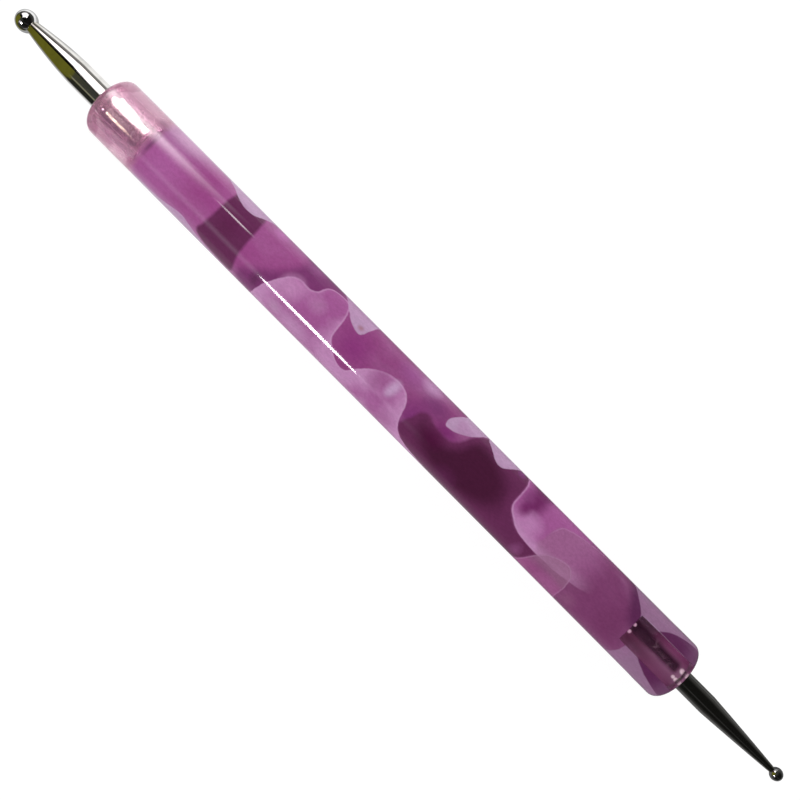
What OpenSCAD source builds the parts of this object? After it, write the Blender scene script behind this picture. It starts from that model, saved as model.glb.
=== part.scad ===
// Embossing stylus: a marbled acrylic barrel with a steel ball tip glued into a blind bore at each end.
// Millimetres. The barrel lies along X with its middle at the origin. The small ball is at +X.

/* [Barrel] */
// Outside diameter of the acrylic rod
barrel_d = 8; // [7:0.1:12]
// Length of the rod between its end faces
barrel_len = 95.9; // [40:0.1:160]
// Radius of the tumbled edge round each end face
barrel_edge_r = 0.87; // [0.1:0.01:1.3]

/* [Large tip] */
// Diameter of the large ball, a 7/64 inch bearing ball
large_ball_d = 2.778; // [2.2:0.001:4]
// Diameter of the shank where it is straight
large_shank_d = 3.45; // [2.5:0.05:4.2]
// Diameter of the shank's nose, which carries the ball
large_nose_d = 1.72; // [0.8:0.01:1.9]
// Straight length of shank that stands out of the barrel
large_straight_len = 5.4; // [1:0.1:12]
// Length of the taper from the straight part to the nose
large_taper_len = 8.05; // [4:0.05:16]
// How far the taper's side bulges out of a straight cone
large_taper_bulge = 0.114; // [0.02:0.002:0.2]
// Depth of the bore that takes the shank
large_bore_depth = 7.45; // [4:0.05:16]

/* [Small tip] */
// Diameter of the small ball, a 1/16 inch bearing ball
small_ball_d = 1.588; // [1:0.001:3]
// Diameter of the shank where it is straight
small_shank_d = 2.5; // [1.6:0.05:3.6]
// Diameter of the shank's nose, which carries the ball
small_nose_d = 0.78; // [0.5:0.01:0.9]
// Straight length of shank that stands out of the barrel
small_straight_len = 5.15; // [1:0.05:12]
// Length of the taper from the straight part to the nose
small_taper_len = 10.55; // [5:0.05:20]
// How far the taper's side bulges out of a straight cone
small_taper_bulge = 0.03; // [0.01:0.002:0.1]
// Depth of the bore that takes the shank
small_bore_depth = 8.3; // [4:0.05:16]

/* [Fits] */
// Thickness of the adhesive between each shank and its bore
glue_film = 0.09; // [0.04:0.01:0.2]
// Adhesive left between the end of each shank and the floor of its bore
glue_pool = 0.42; // [0.3:0.01:1]
// Countersink at the mouth of each bore, measured along the barrel
mouth_chamfer = 0.25; // [0.1:0.01:0.4]
// Radius that the cutter leaves round the floor of each bore
bore_corner_r = 0.2; // [0.05:0.01:0.3]
// Chamfer on the buried end of each shank
shank_chamfer = 0.3; // [0.1:0.01:0.5]
// Flat rim left on each nose round the cup that seats the ball
seat_land = 0.06; // [0.02:0.01:0.12]
// Radial gap between the cured adhesive and the two walls it wets
bond_gap = 0.005; // [0.002:0.001:0.02]
// Radial gap between each ball and the cup it is welded into
weld_gap = 0.005; // [0.002:0.001:0.02]

/* [Hidden] */
$fn = 96;
// Cones that make up a taper's arc
taper_steps = 14;
// Overshoot of a cutting shape past the face it opens
over = 1;
// Ends of the barrel as directions along X
large_side = -1;
small_side = 1;

// Distance from a ball's centre to the plane of its cup's rim
function seat_depth(ball_d, nose_d) =
    let (cup_r = nose_d / 2 - seat_land)
    sqrt(pow(ball_d / 2 + weld_gap, 2) - pow(cup_r, 2));

// Distance from the barrel's end face to a ball's centre
function ball_reach(straight_len, taper_len, ball_d, nose_d) =
    straight_len + taper_len + seat_depth(ball_d, nose_d);

large_reach = ball_reach(large_straight_len, large_taper_len, large_ball_d, large_nose_d);
small_reach = ball_reach(small_straight_len, small_taper_len, small_ball_d, small_nose_d);

// Puts children on one end face of the barrel: their +Z points out of it, and -Z into the rod.
module on_end(side) {
    translate([side * barrel_len / 2, 0, 0]) rotate([0, side * 90, 0]) children();
}

// Half section of a plain rod with rounded edges, from z = -len/2 to z = len/2.
module rod_section(r, len, edge_r) {
    translate([0, -len / 2]) square([r - edge_r, len]);
    translate([0, edge_r - len / 2]) square([r, len - 2 * edge_r]);
    for (end = [-1, 1])
        translate([r - edge_r, end * (len / 2 - edge_r)]) circle(edge_r);
}

// Half section of a flat-bottomed bore below z = 0, with its countersunk mouth.
// inset draws its wall and floor in, and top is where the shape stops.
module bore_section(shank_d, depth, inset, top) {
    r = shank_d / 2 + glue_film - inset;
    floor_z = inset - depth;
    translate([0, floor_z]) square([r - bore_corner_r, depth]);
    translate([0, floor_z + bore_corner_r]) square([r, top - floor_z - bore_corner_r]);
    translate([r - bore_corner_r, floor_z + bore_corner_r]) circle(bore_corner_r);
    polygon([[0, -mouth_chamfer], [r, -mouth_chamfer], [r + mouth_chamfer + top, top], [0, top]]);
}

// Points up the side of a shank's taper, from its straight part to its nose: an arc whose height over
// the straight line between its ends is bulge.
function taper_side(shank_d, nose_d, straight_len, taper_len, bulge) =
    let (
        drop = (shank_d - nose_d) / 2,
        chord = norm([drop, taper_len]),
        arc_r = (pow(chord / 2, 2) + pow(bulge, 2)) / (2 * bulge),
        middle = [(shank_d + nose_d) / 4, straight_len + taper_len / 2],
        centre = middle - (arc_r - bulge) * [taper_len, drop] / chord,
        lean = atan2(drop, taper_len),
        half_sweep = asin(chord / 2 / arc_r)
    )
    [for (step = [0:taper_steps])
        let (turn = lean + half_sweep * (2 * step / taper_steps - 1))
        centre + arc_r * [cos(turn), sin(turn)]];

// Half section of a turned shank: chamfered end in the bore, straight part and taper.
module shank_section(shank_d, nose_d, straight_len, taper_len, bulge, buried) {
    r = shank_d / 2;
    polygon(concat(
        [[0, -buried], [r - shank_chamfer, -buried], [r, shank_chamfer - buried]],
        taper_side(shank_d, nose_d, straight_len, taper_len, bulge),
        [[0, straight_len + taper_len]]));
}

// A shank with the cup for its ball sunk into the nose.
module shank(shank_d, nose_d, straight_len, taper_len, bulge, bore_depth, ball_d) {
    difference() {
        rotate_extrude()
            shank_section(shank_d, nose_d, straight_len, taper_len, bulge, bore_depth - glue_pool);
        translate([0, 0, ball_reach(straight_len, taper_len, ball_d, nose_d)])
            sphere(d = ball_d + 2 * weld_gap);
    }
}

// Half section of the room that a shank and its bond gap take up in a bore, from z = bottom up to z = top.
module shank_room(shank_d, bottom, top) {
    r = shank_d / 2 + bond_gap;
    polygon([[0, bottom], [r - shank_chamfer, bottom], [r, bottom + shank_chamfer], [r, top], [0, top]]);
}

// Cured adhesive: what is left of a bore round its shank, hollowed a little at the mouth.
module adhesive(shank_d, bore_depth) {
    mouth_r = shank_d / 2 + glue_film + mouth_chamfer / 2;
    rotate_extrude() difference() {
        bore_section(shank_d, bore_depth, bond_gap, 0);
        shank_room(shank_d, glue_pool - bore_depth - bond_gap, over);
        translate([mouth_r, mouth_chamfer / 4]) circle(mouth_chamfer / 2);
    }
}

module barrel() {
    color("mediumorchid")
    difference() {
        rotate([0, 90, 0]) rotate_extrude() rod_section(barrel_d / 2, barrel_len, barrel_edge_r);
        on_end(large_side) rotate_extrude() bore_section(large_shank_d, large_bore_depth, 0, over);
        on_end(small_side) rotate_extrude() bore_section(small_shank_d, small_bore_depth, 0, over);
    }
}

module large_shank() {
    color("silver") on_end(large_side)
        shank(large_shank_d, large_nose_d, large_straight_len, large_taper_len, large_taper_bulge,
              large_bore_depth, large_ball_d);
}

module large_ball() {
    color("gainsboro") on_end(large_side) translate([0, 0, large_reach]) sphere(d = large_ball_d);
}

module large_adhesive() {
    color("thistle") on_end(large_side) adhesive(large_shank_d, large_bore_depth);
}

module small_shank() {
    color("silver") on_end(small_side)
        shank(small_shank_d, small_nose_d, small_straight_len, small_taper_len, small_taper_bulge,
              small_bore_depth, small_ball_d);
}

module small_ball() {
    color("gainsboro") on_end(small_side) translate([0, 0, small_reach]) sphere(d = small_ball_d);
}

module small_adhesive() {
    color("thistle") on_end(small_side) adhesive(small_shank_d, small_bore_depth);
}

barrel();
large_shank();
large_ball();
large_adhesive();
small_shank();
small_ball();
small_adhesive();
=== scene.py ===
"""Embossing stylus: a marbled acrylic barrel with a steel ball tip glued into each end.

Sizes in the classes are millimetres, meshes are metres, and the frame is the CAD part's own: the barrel
lies along X with its middle at the origin, the small ball is at +X and the table is below at -Z.
"""

from __future__ import annotations

import logging
import math
from dataclasses import dataclass, field
from enum import Enum
from typing import Any, Iterable, Optional, Sequence, Union

import bpy
import numpy as np
from mathutils import Matrix, Vector

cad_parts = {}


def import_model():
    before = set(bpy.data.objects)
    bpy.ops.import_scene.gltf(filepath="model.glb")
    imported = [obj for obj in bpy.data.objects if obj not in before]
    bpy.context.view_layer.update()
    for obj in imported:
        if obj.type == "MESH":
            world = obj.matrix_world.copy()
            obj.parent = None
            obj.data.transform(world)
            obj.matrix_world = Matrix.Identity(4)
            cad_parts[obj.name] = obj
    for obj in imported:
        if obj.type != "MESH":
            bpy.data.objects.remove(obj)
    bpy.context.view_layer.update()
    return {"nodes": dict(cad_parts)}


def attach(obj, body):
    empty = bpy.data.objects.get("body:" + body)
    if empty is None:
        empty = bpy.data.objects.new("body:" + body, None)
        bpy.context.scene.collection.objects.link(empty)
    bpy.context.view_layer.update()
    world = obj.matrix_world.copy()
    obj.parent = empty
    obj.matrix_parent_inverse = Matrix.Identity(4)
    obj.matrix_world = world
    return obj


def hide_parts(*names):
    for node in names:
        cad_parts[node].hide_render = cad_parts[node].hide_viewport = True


Colour = tuple[float, float, float]
Place = tuple[float, float, float]
Point = tuple[float, float]
Input = Union["Signal", bpy.types.NodeSocket, float, Sequence[float], str]

LOG = logging.getLogger("stylus")
MM = 0.001
ROOT = "root"
# Edges sharper than this stay crisp in a smooth-shaded piece.
CREASE = math.radians(28)
# Points closer than this, in metres, are welded when a profile is turned.
WELD = 1e-7
# Acrylic's refractive index.
ACRYLIC_INDEX = 1.49
WHITE: Colour = (1.0, 1.0, 1.0)
BLACK: Colour = (0.0, 0.0, 0.0)
MOSS: Colour = (0.175, 0.17, 0.02)
# Between no bounce and one, in a ray's count of bounces.
HALF_BOUNCE = (0.4, 0.6)


# Node building


class Signal:
    """A number running through a node tree, which takes part in Python arithmetic."""

    def __init__(self, bench: "NodeBench", socket: bpy.types.NodeSocket) -> None:
        """Keeps the bench that adds nodes and the socket that carries the number."""
        self.bench = bench
        self.socket = socket

    def _math(self, operation: str, first: Input, second: Input = 0.0) -> "Signal":
        """Adds one Math node.

        Args:
            operation: Blender's name of the operation.
            first: first operand.
            second: second operand.

        Returns:
            The node's result.
        """
        node = self.bench.node("ShaderNodeMath", {"operation": operation}, {0: first, 1: second})
        return Signal(self.bench, node.outputs[0])

    def __add__(self, other: Input) -> "Signal":
        """Sum."""
        return self._math("ADD", self, other)

    __radd__ = __add__

    def __sub__(self, other: Input) -> "Signal":
        """Difference."""
        return self._math("SUBTRACT", self, other)

    def __rsub__(self, other: Input) -> "Signal":
        """Difference from a number on the left."""
        return self._math("SUBTRACT", other, self)

    def __mul__(self, other: Input) -> "Signal":
        """Product."""
        return self._math("MULTIPLY", self, other)

    __rmul__ = __mul__

    def __truediv__(self, other: Input) -> "Signal":
        """Quotient."""
        return self._math("DIVIDE", self, other)

    def floor(self) -> "Signal":
        """The whole number at or below this one."""
        return self._math("FLOOR", self)

    def sine(self) -> "Signal":
        """Sine of this angle."""
        return self._math("SINE", self)

    def cosine(self) -> "Signal":
        """Cosine of this angle."""
        return self._math("COSINE", self)

    def most(self, other: Input) -> "Signal":
        """The larger of two numbers."""
        return self._math("MAXIMUM", self, other)

    def ramp(self, low: float, high: float, start: float = 0.0, stop: float = 1.0) -> "Signal":
        """Runs smoothly from start to stop while this number goes from low to high.

        Args:
            low: value at which the result is start.
            high: value at which the result is stop.
            start: result up to low.
            stop: result from high on.

        Returns:
            The eased number.
        """
        node = self.bench.node(
            "ShaderNodeMapRange",
            {"interpolation_type": "SMOOTHSTEP"},
            {"Value": self, "From Min": low, "From Max": high, "To Min": start, "To Max": stop},
        )
        return Signal(self.bench, node.outputs["Result"])

    def band(self, low: float, high: float, soft: float) -> "Signal":
        """1 between low and high, easing to 0 over soft on both sides."""
        return self.ramp(low - soft, low + soft) * self.ramp(high - soft, high + soft, 1.0, 0.0)


class NodeBench:
    """Adds nodes to one tree."""

    def __init__(self, tree: bpy.types.NodeTree) -> None:
        """Empties the tree and keeps it."""
        self.tree = tree
        tree.nodes.clear()

    @classmethod
    def for_material(cls, name: str) -> tuple[bpy.types.Material, "NodeBench"]:
        """Makes a node material.

        Args:
            name: the material's name.

        Returns:
            The material and the bench for its tree.
        """
        material = bpy.data.materials.new(name)
        material.use_nodes = True
        return material, cls(material.node_tree)

    def node(self, kind: str, settings: Optional[dict[str, Any]] = None,
             inputs: Optional[dict[Union[str, int], Input]] = None) -> bpy.types.Node:
        """Adds any node.

        Args:
            kind: the node's type.
            settings: properties of the node, set before its sockets.
            inputs: a value or a link for each named or numbered socket.

        Returns:
            The node.
        """
        node = self.tree.nodes.new(kind)
        for key, value in (settings or {}).items():
            setattr(node, key, value)
        for key, value in (inputs or {}).items():
            self.feed(node.inputs[key], value)
        return node

    def feed(self, socket: bpy.types.NodeSocket, value: Input) -> None:
        """Links a socket, or sets its value.

        Args:
            socket: the socket.
            value: what it gets; three numbers do for a colour.
        """
        if isinstance(value, Signal):
            value = value.socket
        if isinstance(value, bpy.types.NodeSocket):
            self.tree.links.new(value, socket)
        elif isinstance(value, (tuple, list)) and socket.type == "RGBA" and len(value) == 3:
            socket.default_value = (*value, 1.0)
        else:
            socket.default_value = value

    def number(self, kind: str, output: str, settings: Optional[dict[str, Any]] = None,
               inputs: Optional[dict[Union[str, int], Input]] = None) -> Signal:
        """Adds a node and takes one of its outputs as a number."""
        return Signal(self, self.node(kind, settings, inputs).outputs[output])

    def attribute(self, name: str) -> Signal:
        """Reads a number that the mesh carries."""
        settings = {"attribute_type": "GEOMETRY", "attribute_name": name}
        return self.number("ShaderNodeAttribute", "Fac", settings)

    def split(self, vector: bpy.types.NodeSocket) -> tuple[Signal, Signal, Signal]:
        """X, Y and Z of a vector as numbers."""
        parts = self.node("ShaderNodeSeparateXYZ", None, {"Vector": vector})
        return tuple(Signal(self, parts.outputs[axis]) for axis in "XYZ")

    def ray(self, output: str) -> Signal:
        """What Light Path tells about the ray that is being followed."""
        return self.number("ShaderNodeLightPath", output)

    def mirrored(self) -> Signal:
        """1 for what is seen in a glossy surface, and 0 for the rest."""
        return self.ray("Glossy Depth").ramp(*HALF_BOUNCE)

    def seen_directly(self) -> Signal:
        """1 for what the camera sees directly or through clear resin, 0 in reflections and for shading."""
        direct = self.ray("Is Camera Ray").most(self.ray("Is Transmission Ray"))
        return direct * self.ray("Glossy Depth").ramp(*HALF_BOUNCE, 1.0, 0.0)

    def grey(self, value: Signal) -> bpy.types.NodeSocket:
        """A colour with the same number in its three channels."""
        return self.node("ShaderNodeCombineColor", None, {0: value, 1: value, 2: value}).outputs["Color"]

    def mix(self, share: Input, first: Input, second: Input, blend: str = "MIX") -> bpy.types.NodeSocket:
        """Mixes two colours.

        Args:
            share: how much of the second colour shows.
            first: colour where share is 0.
            second: colour where share is 1.
            blend: Blender's name of the blend.

        Returns:
            The mixed colour.
        """
        settings = {"data_type": "RGBA", "blend_type": blend}
        return self.node("ShaderNodeMix", settings, {0: share, 6: first, 7: second}).outputs[2]

    def place(self, scale: Sequence[float] = (1.0, 1.0, 1.0)) -> bpy.types.NodeSocket:
        """Object coordinates in millimetres.

        Args:
            scale: how far they are stretched along each axis.

        Returns:
            The coordinates.
        """
        where = self.node("ShaderNodeTexCoord").outputs["Object"]
        stretch = tuple(value / MM for value in scale)
        node = self.node("ShaderNodeVectorMath", {"operation": "MULTIPLY"}, {0: where, 1: stretch})
        return node.outputs["Vector"]

    def noise(self, scale: Sequence[float], detail: float = 2.0, distortion: float = 0.0,
              roughness: float = 0.5) -> Signal:
        """Noise over the object.

        Args:
            scale: features per millimetre along each axis.
            detail: number of finer layers.
            distortion: how far the noise is warped.
            roughness: strength of the finer layers.

        Returns:
            The noise, about 0.5 in the middle.
        """
        inputs = {"Vector": self.place(scale), "Scale": 1.0, "Detail": detail,
                  "Roughness": roughness, "Distortion": distortion}
        return self.number("ShaderNodeTexNoise", "Fac", None, inputs)

    def spot(self, centre: Sequence[float], reach: Sequence[float]) -> Signal:
        """A soft spot: 1 at its centre, 0 at its rim.

        Args:
            centre: its centre in millimetres.
            reach: how far it reaches along each axis.

        Returns:
            The spot's strength.
        """
        scale = tuple(1.0 / value for value in reach)
        middle = tuple(value * factor for value, factor in zip(centre, scale))
        gap = self.number("ShaderNodeVectorMath", "Value", {"operation": "DISTANCE"},
                          {0: self.place(scale), 1: middle})
        return gap.ramp(0.0, 1.0, 1.0, 0.0)

    def bump(self, height: Input, depth_mm: float, below: Optional[Input] = None) -> bpy.types.NodeSocket:
        """Turns a height into a normal.

        Args:
            height: height from 0 to 1.
            depth_mm: what a height of 1 stands for.
            below: a normal that this one adds to.

        Returns:
            The normal.
        """
        inputs = {"Height": height, "Distance": depth_mm * MM, "Strength": 1.0}
        if below is not None:
            inputs["Normal"] = below
        return self.node("ShaderNodeBump", None, inputs).outputs["Normal"]

    def shader(self, kind: str, inputs: dict[Union[str, int], Input]) -> bpy.types.NodeSocket:
        """Adds a shader node, such as "BsdfPrincipled", and takes its output."""
        return self.node("ShaderNode" + kind, None, inputs).outputs[0]

    def blend(self, share: Input, first: Input, second: Input) -> bpy.types.NodeSocket:
        """Mixes two shaders: the first where share is 0 and the second where it is 1."""
        return self.shader("MixShader", {0: share, 1: first, 2: second})

    def clear_resin(self, tint: Input, roughness: float, normal: Input) -> bpy.types.NodeSocket:
        """Clear acrylic, which bends what is seen through it and lets the lamps' light pass.

        Args:
            tint: colour that the resin gives to what is behind it.
            roughness: roughness of its surface.
            normal: normal of its surface.

        Returns:
            The shader.
        """
        resin = self.shader("BsdfPrincipled", {
            "Base Color": tint, "Roughness": roughness, "IOR": ACRYLIC_INDEX, "Transmission Weight": 1.0,
            "Normal": normal})
        passing = self.shader("BsdfTransparent", {"Color": tint})
        return self.blend(self.ray("Is Shadow Ray"), resin, passing)

    def surface(self, shader: bpy.types.NodeSocket) -> None:
        """Sends a shader to the material's output."""
        self.node("ShaderNodeOutputMaterial", None, {"Surface": shader})


# Geometry Nodes trees


class GeometryTree:
    """A Geometry Nodes tree with named inputs, which makes one piece from a blank mesh."""

    def __init__(self, name: str, inputs: dict[str, str]) -> None:
        """Starts the tree.

        Args:
            name: the tree's name.
            inputs: kind of each input that is neither the blank nor the finish, such as "Int".
        """
        self.tree = bpy.data.node_groups.new(name, "GeometryNodeTree")
        self.sockets: dict[str, str] = {}
        for key, kind in {"Blank": "Geometry", **inputs, "Finish": "Material"}.items():
            socket = self.tree.interface.new_socket(key, in_out="INPUT", socket_type="NodeSocket" + kind)
            self.sockets[key] = socket.identifier
        self.tree.interface.new_socket("Piece", in_out="OUTPUT", socket_type="NodeSocketGeometry")
        self.bench = NodeBench(self.tree)
        self.given = self.bench.node("NodeGroupInput").outputs

    def deliver(self, geometry: bpy.types.NodeSocket) -> None:
        """Ends the tree: smooth shading, real faces and the finish.

        Args:
            geometry: what the tree has made.
        """
        for kind, more in (("SetShadeSmooth", {}), ("RealizeInstances", {}),
                           ("SetMaterial", {"Material": self.given["Finish"]})):
            node = self.bench.node("GeometryNode" + kind, None, {"Geometry": geometry, **more})
            geometry = node.outputs["Geometry"]
        self.bench.node("NodeGroupOutput", None, {"Piece": geometry})

    def run(self, name: str, drawn: bpy.types.Mesh, values: dict[str, Any],
            finish: bpy.types.Material) -> bpy.types.Object:
        """Runs the tree on a blank and keeps the result as a mesh of its own.

        Args:
            name: the piece's name.
            drawn: mesh of the blank, which is used up.
            values: a value for each of the tree's own inputs.
            finish: the one material that the piece gets.

        Returns:
            A plain mesh object, linked to the scene.
        """
        blank = bpy.data.objects.new(name + "_blank", drawn)
        bpy.context.collection.objects.link(blank)
        work = blank.modifiers.new(self.tree.name, "NODES")
        work.node_group = self.tree
        for key, value in {**values, "Finish": finish}.items():
            work[self.sockets[key]] = value
        graph = bpy.context.evaluated_depsgraph_get()
        mesh = bpy.data.meshes.new_from_object(blank.evaluated_get(graph), depsgraph=graph)
        mesh.name = name
        mesh.materials.clear()
        mesh.materials.append(finish)
        mesh.polygons.foreach_set("material_index", np.zeros(len(mesh.polygons), dtype=np.int32))
        blank.modifiers.clear()
        bpy.data.objects.remove(blank)
        bpy.data.meshes.remove(drawn)
        piece = bpy.data.objects.new(name, mesh)
        bpy.context.collection.objects.link(piece)
        return piece


class Lathe(GeometryTree):
    """Turns a profile round the X axis."""

    def __init__(self, segments: int = 96) -> None:
        """Builds the tree once.

        Args:
            segments: faces round a piece that doesn't ask for another number.
        """
        super().__init__("lathe", {"Points": "Int", "Segments": "Int", "Weld": "Float"})
        self.segments = segments
        self._wire()

    def _wire(self) -> None:
        """Adds the nodes: a grid whose rows follow the profile, wrapped round and welded."""
        bench, given = self.bench, self.given
        segments = Signal(bench, given["Segments"])
        columns = segments + 1.0
        grid = bench.node("GeometryNodeMeshGrid", None,
                          {"Vertices X": given["Points"], "Vertices Y": columns})
        unrolled = bench.node("GeometryNodeStoreNamedAttribute",
                              {"data_type": "FLOAT2", "domain": "CORNER"},
                              {"Geometry": grid.outputs["Mesh"], "Name": "OFBake",
                               "Value": grid.outputs["UV Map"]})
        index = bench.number("GeometryNodeInputIndex", "Index")
        row = (index / columns).floor()
        column = index - row * columns
        turn = column / segments * math.tau
        profile = bench.node("GeometryNodeSampleIndex", {"data_type": "FLOAT_VECTOR"},
                             {"Geometry": given["Blank"],
                              "Value": bench.node("GeometryNodeInputPosition").outputs["Position"],
                              "Index": row})
        along, _, radius = bench.split(profile.outputs["Value"])
        place = bench.node("ShaderNodeCombineXYZ", None,
                           {"X": along, "Y": radius * turn.sine(), "Z": radius * turn.cosine()})
        wrapped = bench.node("GeometryNodeSetPosition", None,
                             {"Geometry": unrolled.outputs["Geometry"], "Position": place.outputs["Vector"]})
        welded = bench.node("GeometryNodeMergeByDistance", None,
                            {"Geometry": wrapped.outputs["Geometry"], "Distance": given["Weld"]})
        self.deliver(welded.outputs["Geometry"])

    def turn(self, name: str, profile: Sequence[Point], finish: bpy.types.Material,
             segments: Optional[int] = None) -> bpy.types.Object:
        """Turns one piece.

        Args:
            name: the piece's name.
            profile: points (along X, radius) in millimetres, from the axis back to the axis.
            finish: the piece's material.
            segments: faces round the piece, if not the lathe's own number.

        Returns:
            A plain mesh object with its faces outwards.
        """
        drawn = bpy.data.meshes.new(name + "_profile")
        drawn.from_pydata([(along * MM, 0.0, radius * MM) for along, radius in profile], [], [])
        values = {"Points": len(profile), "Segments": segments or self.segments, "Weld": WELD}
        piece = self.run(name, drawn, values, finish)
        face_outwards(piece.data)
        piece.data.set_sharp_from_angle(angle=CREASE)
        return piece


class BubbleScatter(GeometryTree):
    """Scatters flattened bubbles over a surface."""

    # A bubble's width is the largest one's times the square of a random number from this one to 1.
    LEAST = 0.25
    # Width of a bubble round the shank, as a share of its length.
    SLIMNESS = 0.8
    SUBDIVISIONS = 2

    def __init__(self) -> None:
        """Builds the tree."""
        super().__init__("bubbles", {"Density": "Float", "Largest": "Float", "Thickness": "Float",
                                     "Seed": "Int"})
        bench, given = self.bench, self.given
        scattered = bench.node("GeometryNodeDistributePointsOnFaces", {"distribute_method": "RANDOM"},
                               {"Mesh": given["Blank"], "Density": given["Density"], "Seed": given["Seed"]})
        width = bench.number("FunctionNodeRandomValue", "Value", {"data_type": "FLOAT"},
                             {"Min": self.LEAST, "Max": 1.0, "Seed": given["Seed"]})
        wide = width * width * given["Largest"]
        size = bench.node("ShaderNodeCombineXYZ", None,
                          {"X": wide, "Y": wide * self.SLIMNESS, "Z": given["Thickness"]})
        ball = bench.node("GeometryNodeMeshIcoSphere", None,
                          {"Radius": 1.0, "Subdivisions": self.SUBDIVISIONS})
        placed = bench.node("GeometryNodeInstanceOnPoints", None, {
            "Points": scattered.outputs["Points"], "Instance": ball.outputs["Mesh"],
            "Rotation": scattered.outputs["Rotation"], "Scale": size.outputs["Vector"]})
        self.deliver(placed.outputs["Instances"])


# Mesh work


def vertex_places(mesh: bpy.types.Mesh) -> np.ndarray:
    """Reads a mesh's vertices.

    Args:
        mesh: the mesh.

    Returns:
        A row of x, y and z for each vertex, in metres.
    """
    places = np.empty(len(mesh.vertices) * 3, dtype=np.float64)
    mesh.vertices.foreach_get("co", places)
    return places.reshape(-1, 3)


def face_outwards(mesh: bpy.types.Mesh) -> None:
    """Flips a closed mesh if its faces point inwards.

    Args:
        mesh: the mesh, changed in place.
    """
    mesh.calc_loop_triangles()
    corners = np.empty(len(mesh.loop_triangles) * 3, dtype=np.int32)
    mesh.loop_triangles.foreach_get("vertices", corners)
    places = vertex_places(mesh)[corners.reshape(-1, 3)]
    volume = np.einsum("ij,ij->i", places[:, 0], np.cross(places[:, 1], places[:, 2])).sum()
    if volume < 0.0:
        mesh.flip_normals()


def arc(centre: Point, radius: float, start: float, stop: float, steps: int) -> list[Point]:
    """Points on an arc.

    Args:
        centre: the arc's centre.
        radius: the arc's radius.
        start: first angle in degrees, from +X towards larger radii.
        stop: last angle in degrees.
        steps: number of straight pieces.

    Returns:
        The points, both ends included.
    """
    angles = [math.radians(start + (stop - start) * step / steps) for step in range(steps + 1)]
    return [(centre[0] + radius * math.cos(a), centre[1] + radius * math.sin(a)) for a in angles]


# The stylus


# Steps of the arcs that are turned, and the rings along a shank's straight part.
TAPER_STEPS = 40
BALL_STEPS = 48
CUP_STEPS = 8
CORNER_STEPS = 6
STRAIGHT_RINGS = 24
RING_STEP = 0.5
RING_MARGIN = 0.3


class End(Enum):
    """The two ends of the tool, as directions along X."""

    LARGE = -1
    SMALL = 1


@dataclass(frozen=True)
class Fits:
    """Sizes that both ends share."""

    barrel_d: float = 8.0
    barrel_len: float = 95.9
    barrel_edge_r: float = 0.87
    glue_film: float = 0.09
    glue_pool: float = 0.42
    mouth_chamfer: float = 0.25
    bore_corner_r: float = 0.2
    shank_chamfer: float = 0.3
    seat_land: float = 0.06
    bond_gap: float = 0.005
    weld_gap: float = 0.005
    # A ring on the bore's floor, as a share of the bore's radius.
    floor_ring: float = 0.45
    # How far the adhesive stands back from the end face, as shares of the mouth's chamfer.
    hollow_middle: float = 0.35
    hollow_at_shank: float = 0.1

    @property
    def face(self) -> float:
        """Distance from the middle to an end face."""
        return self.barrel_len / 2


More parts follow.
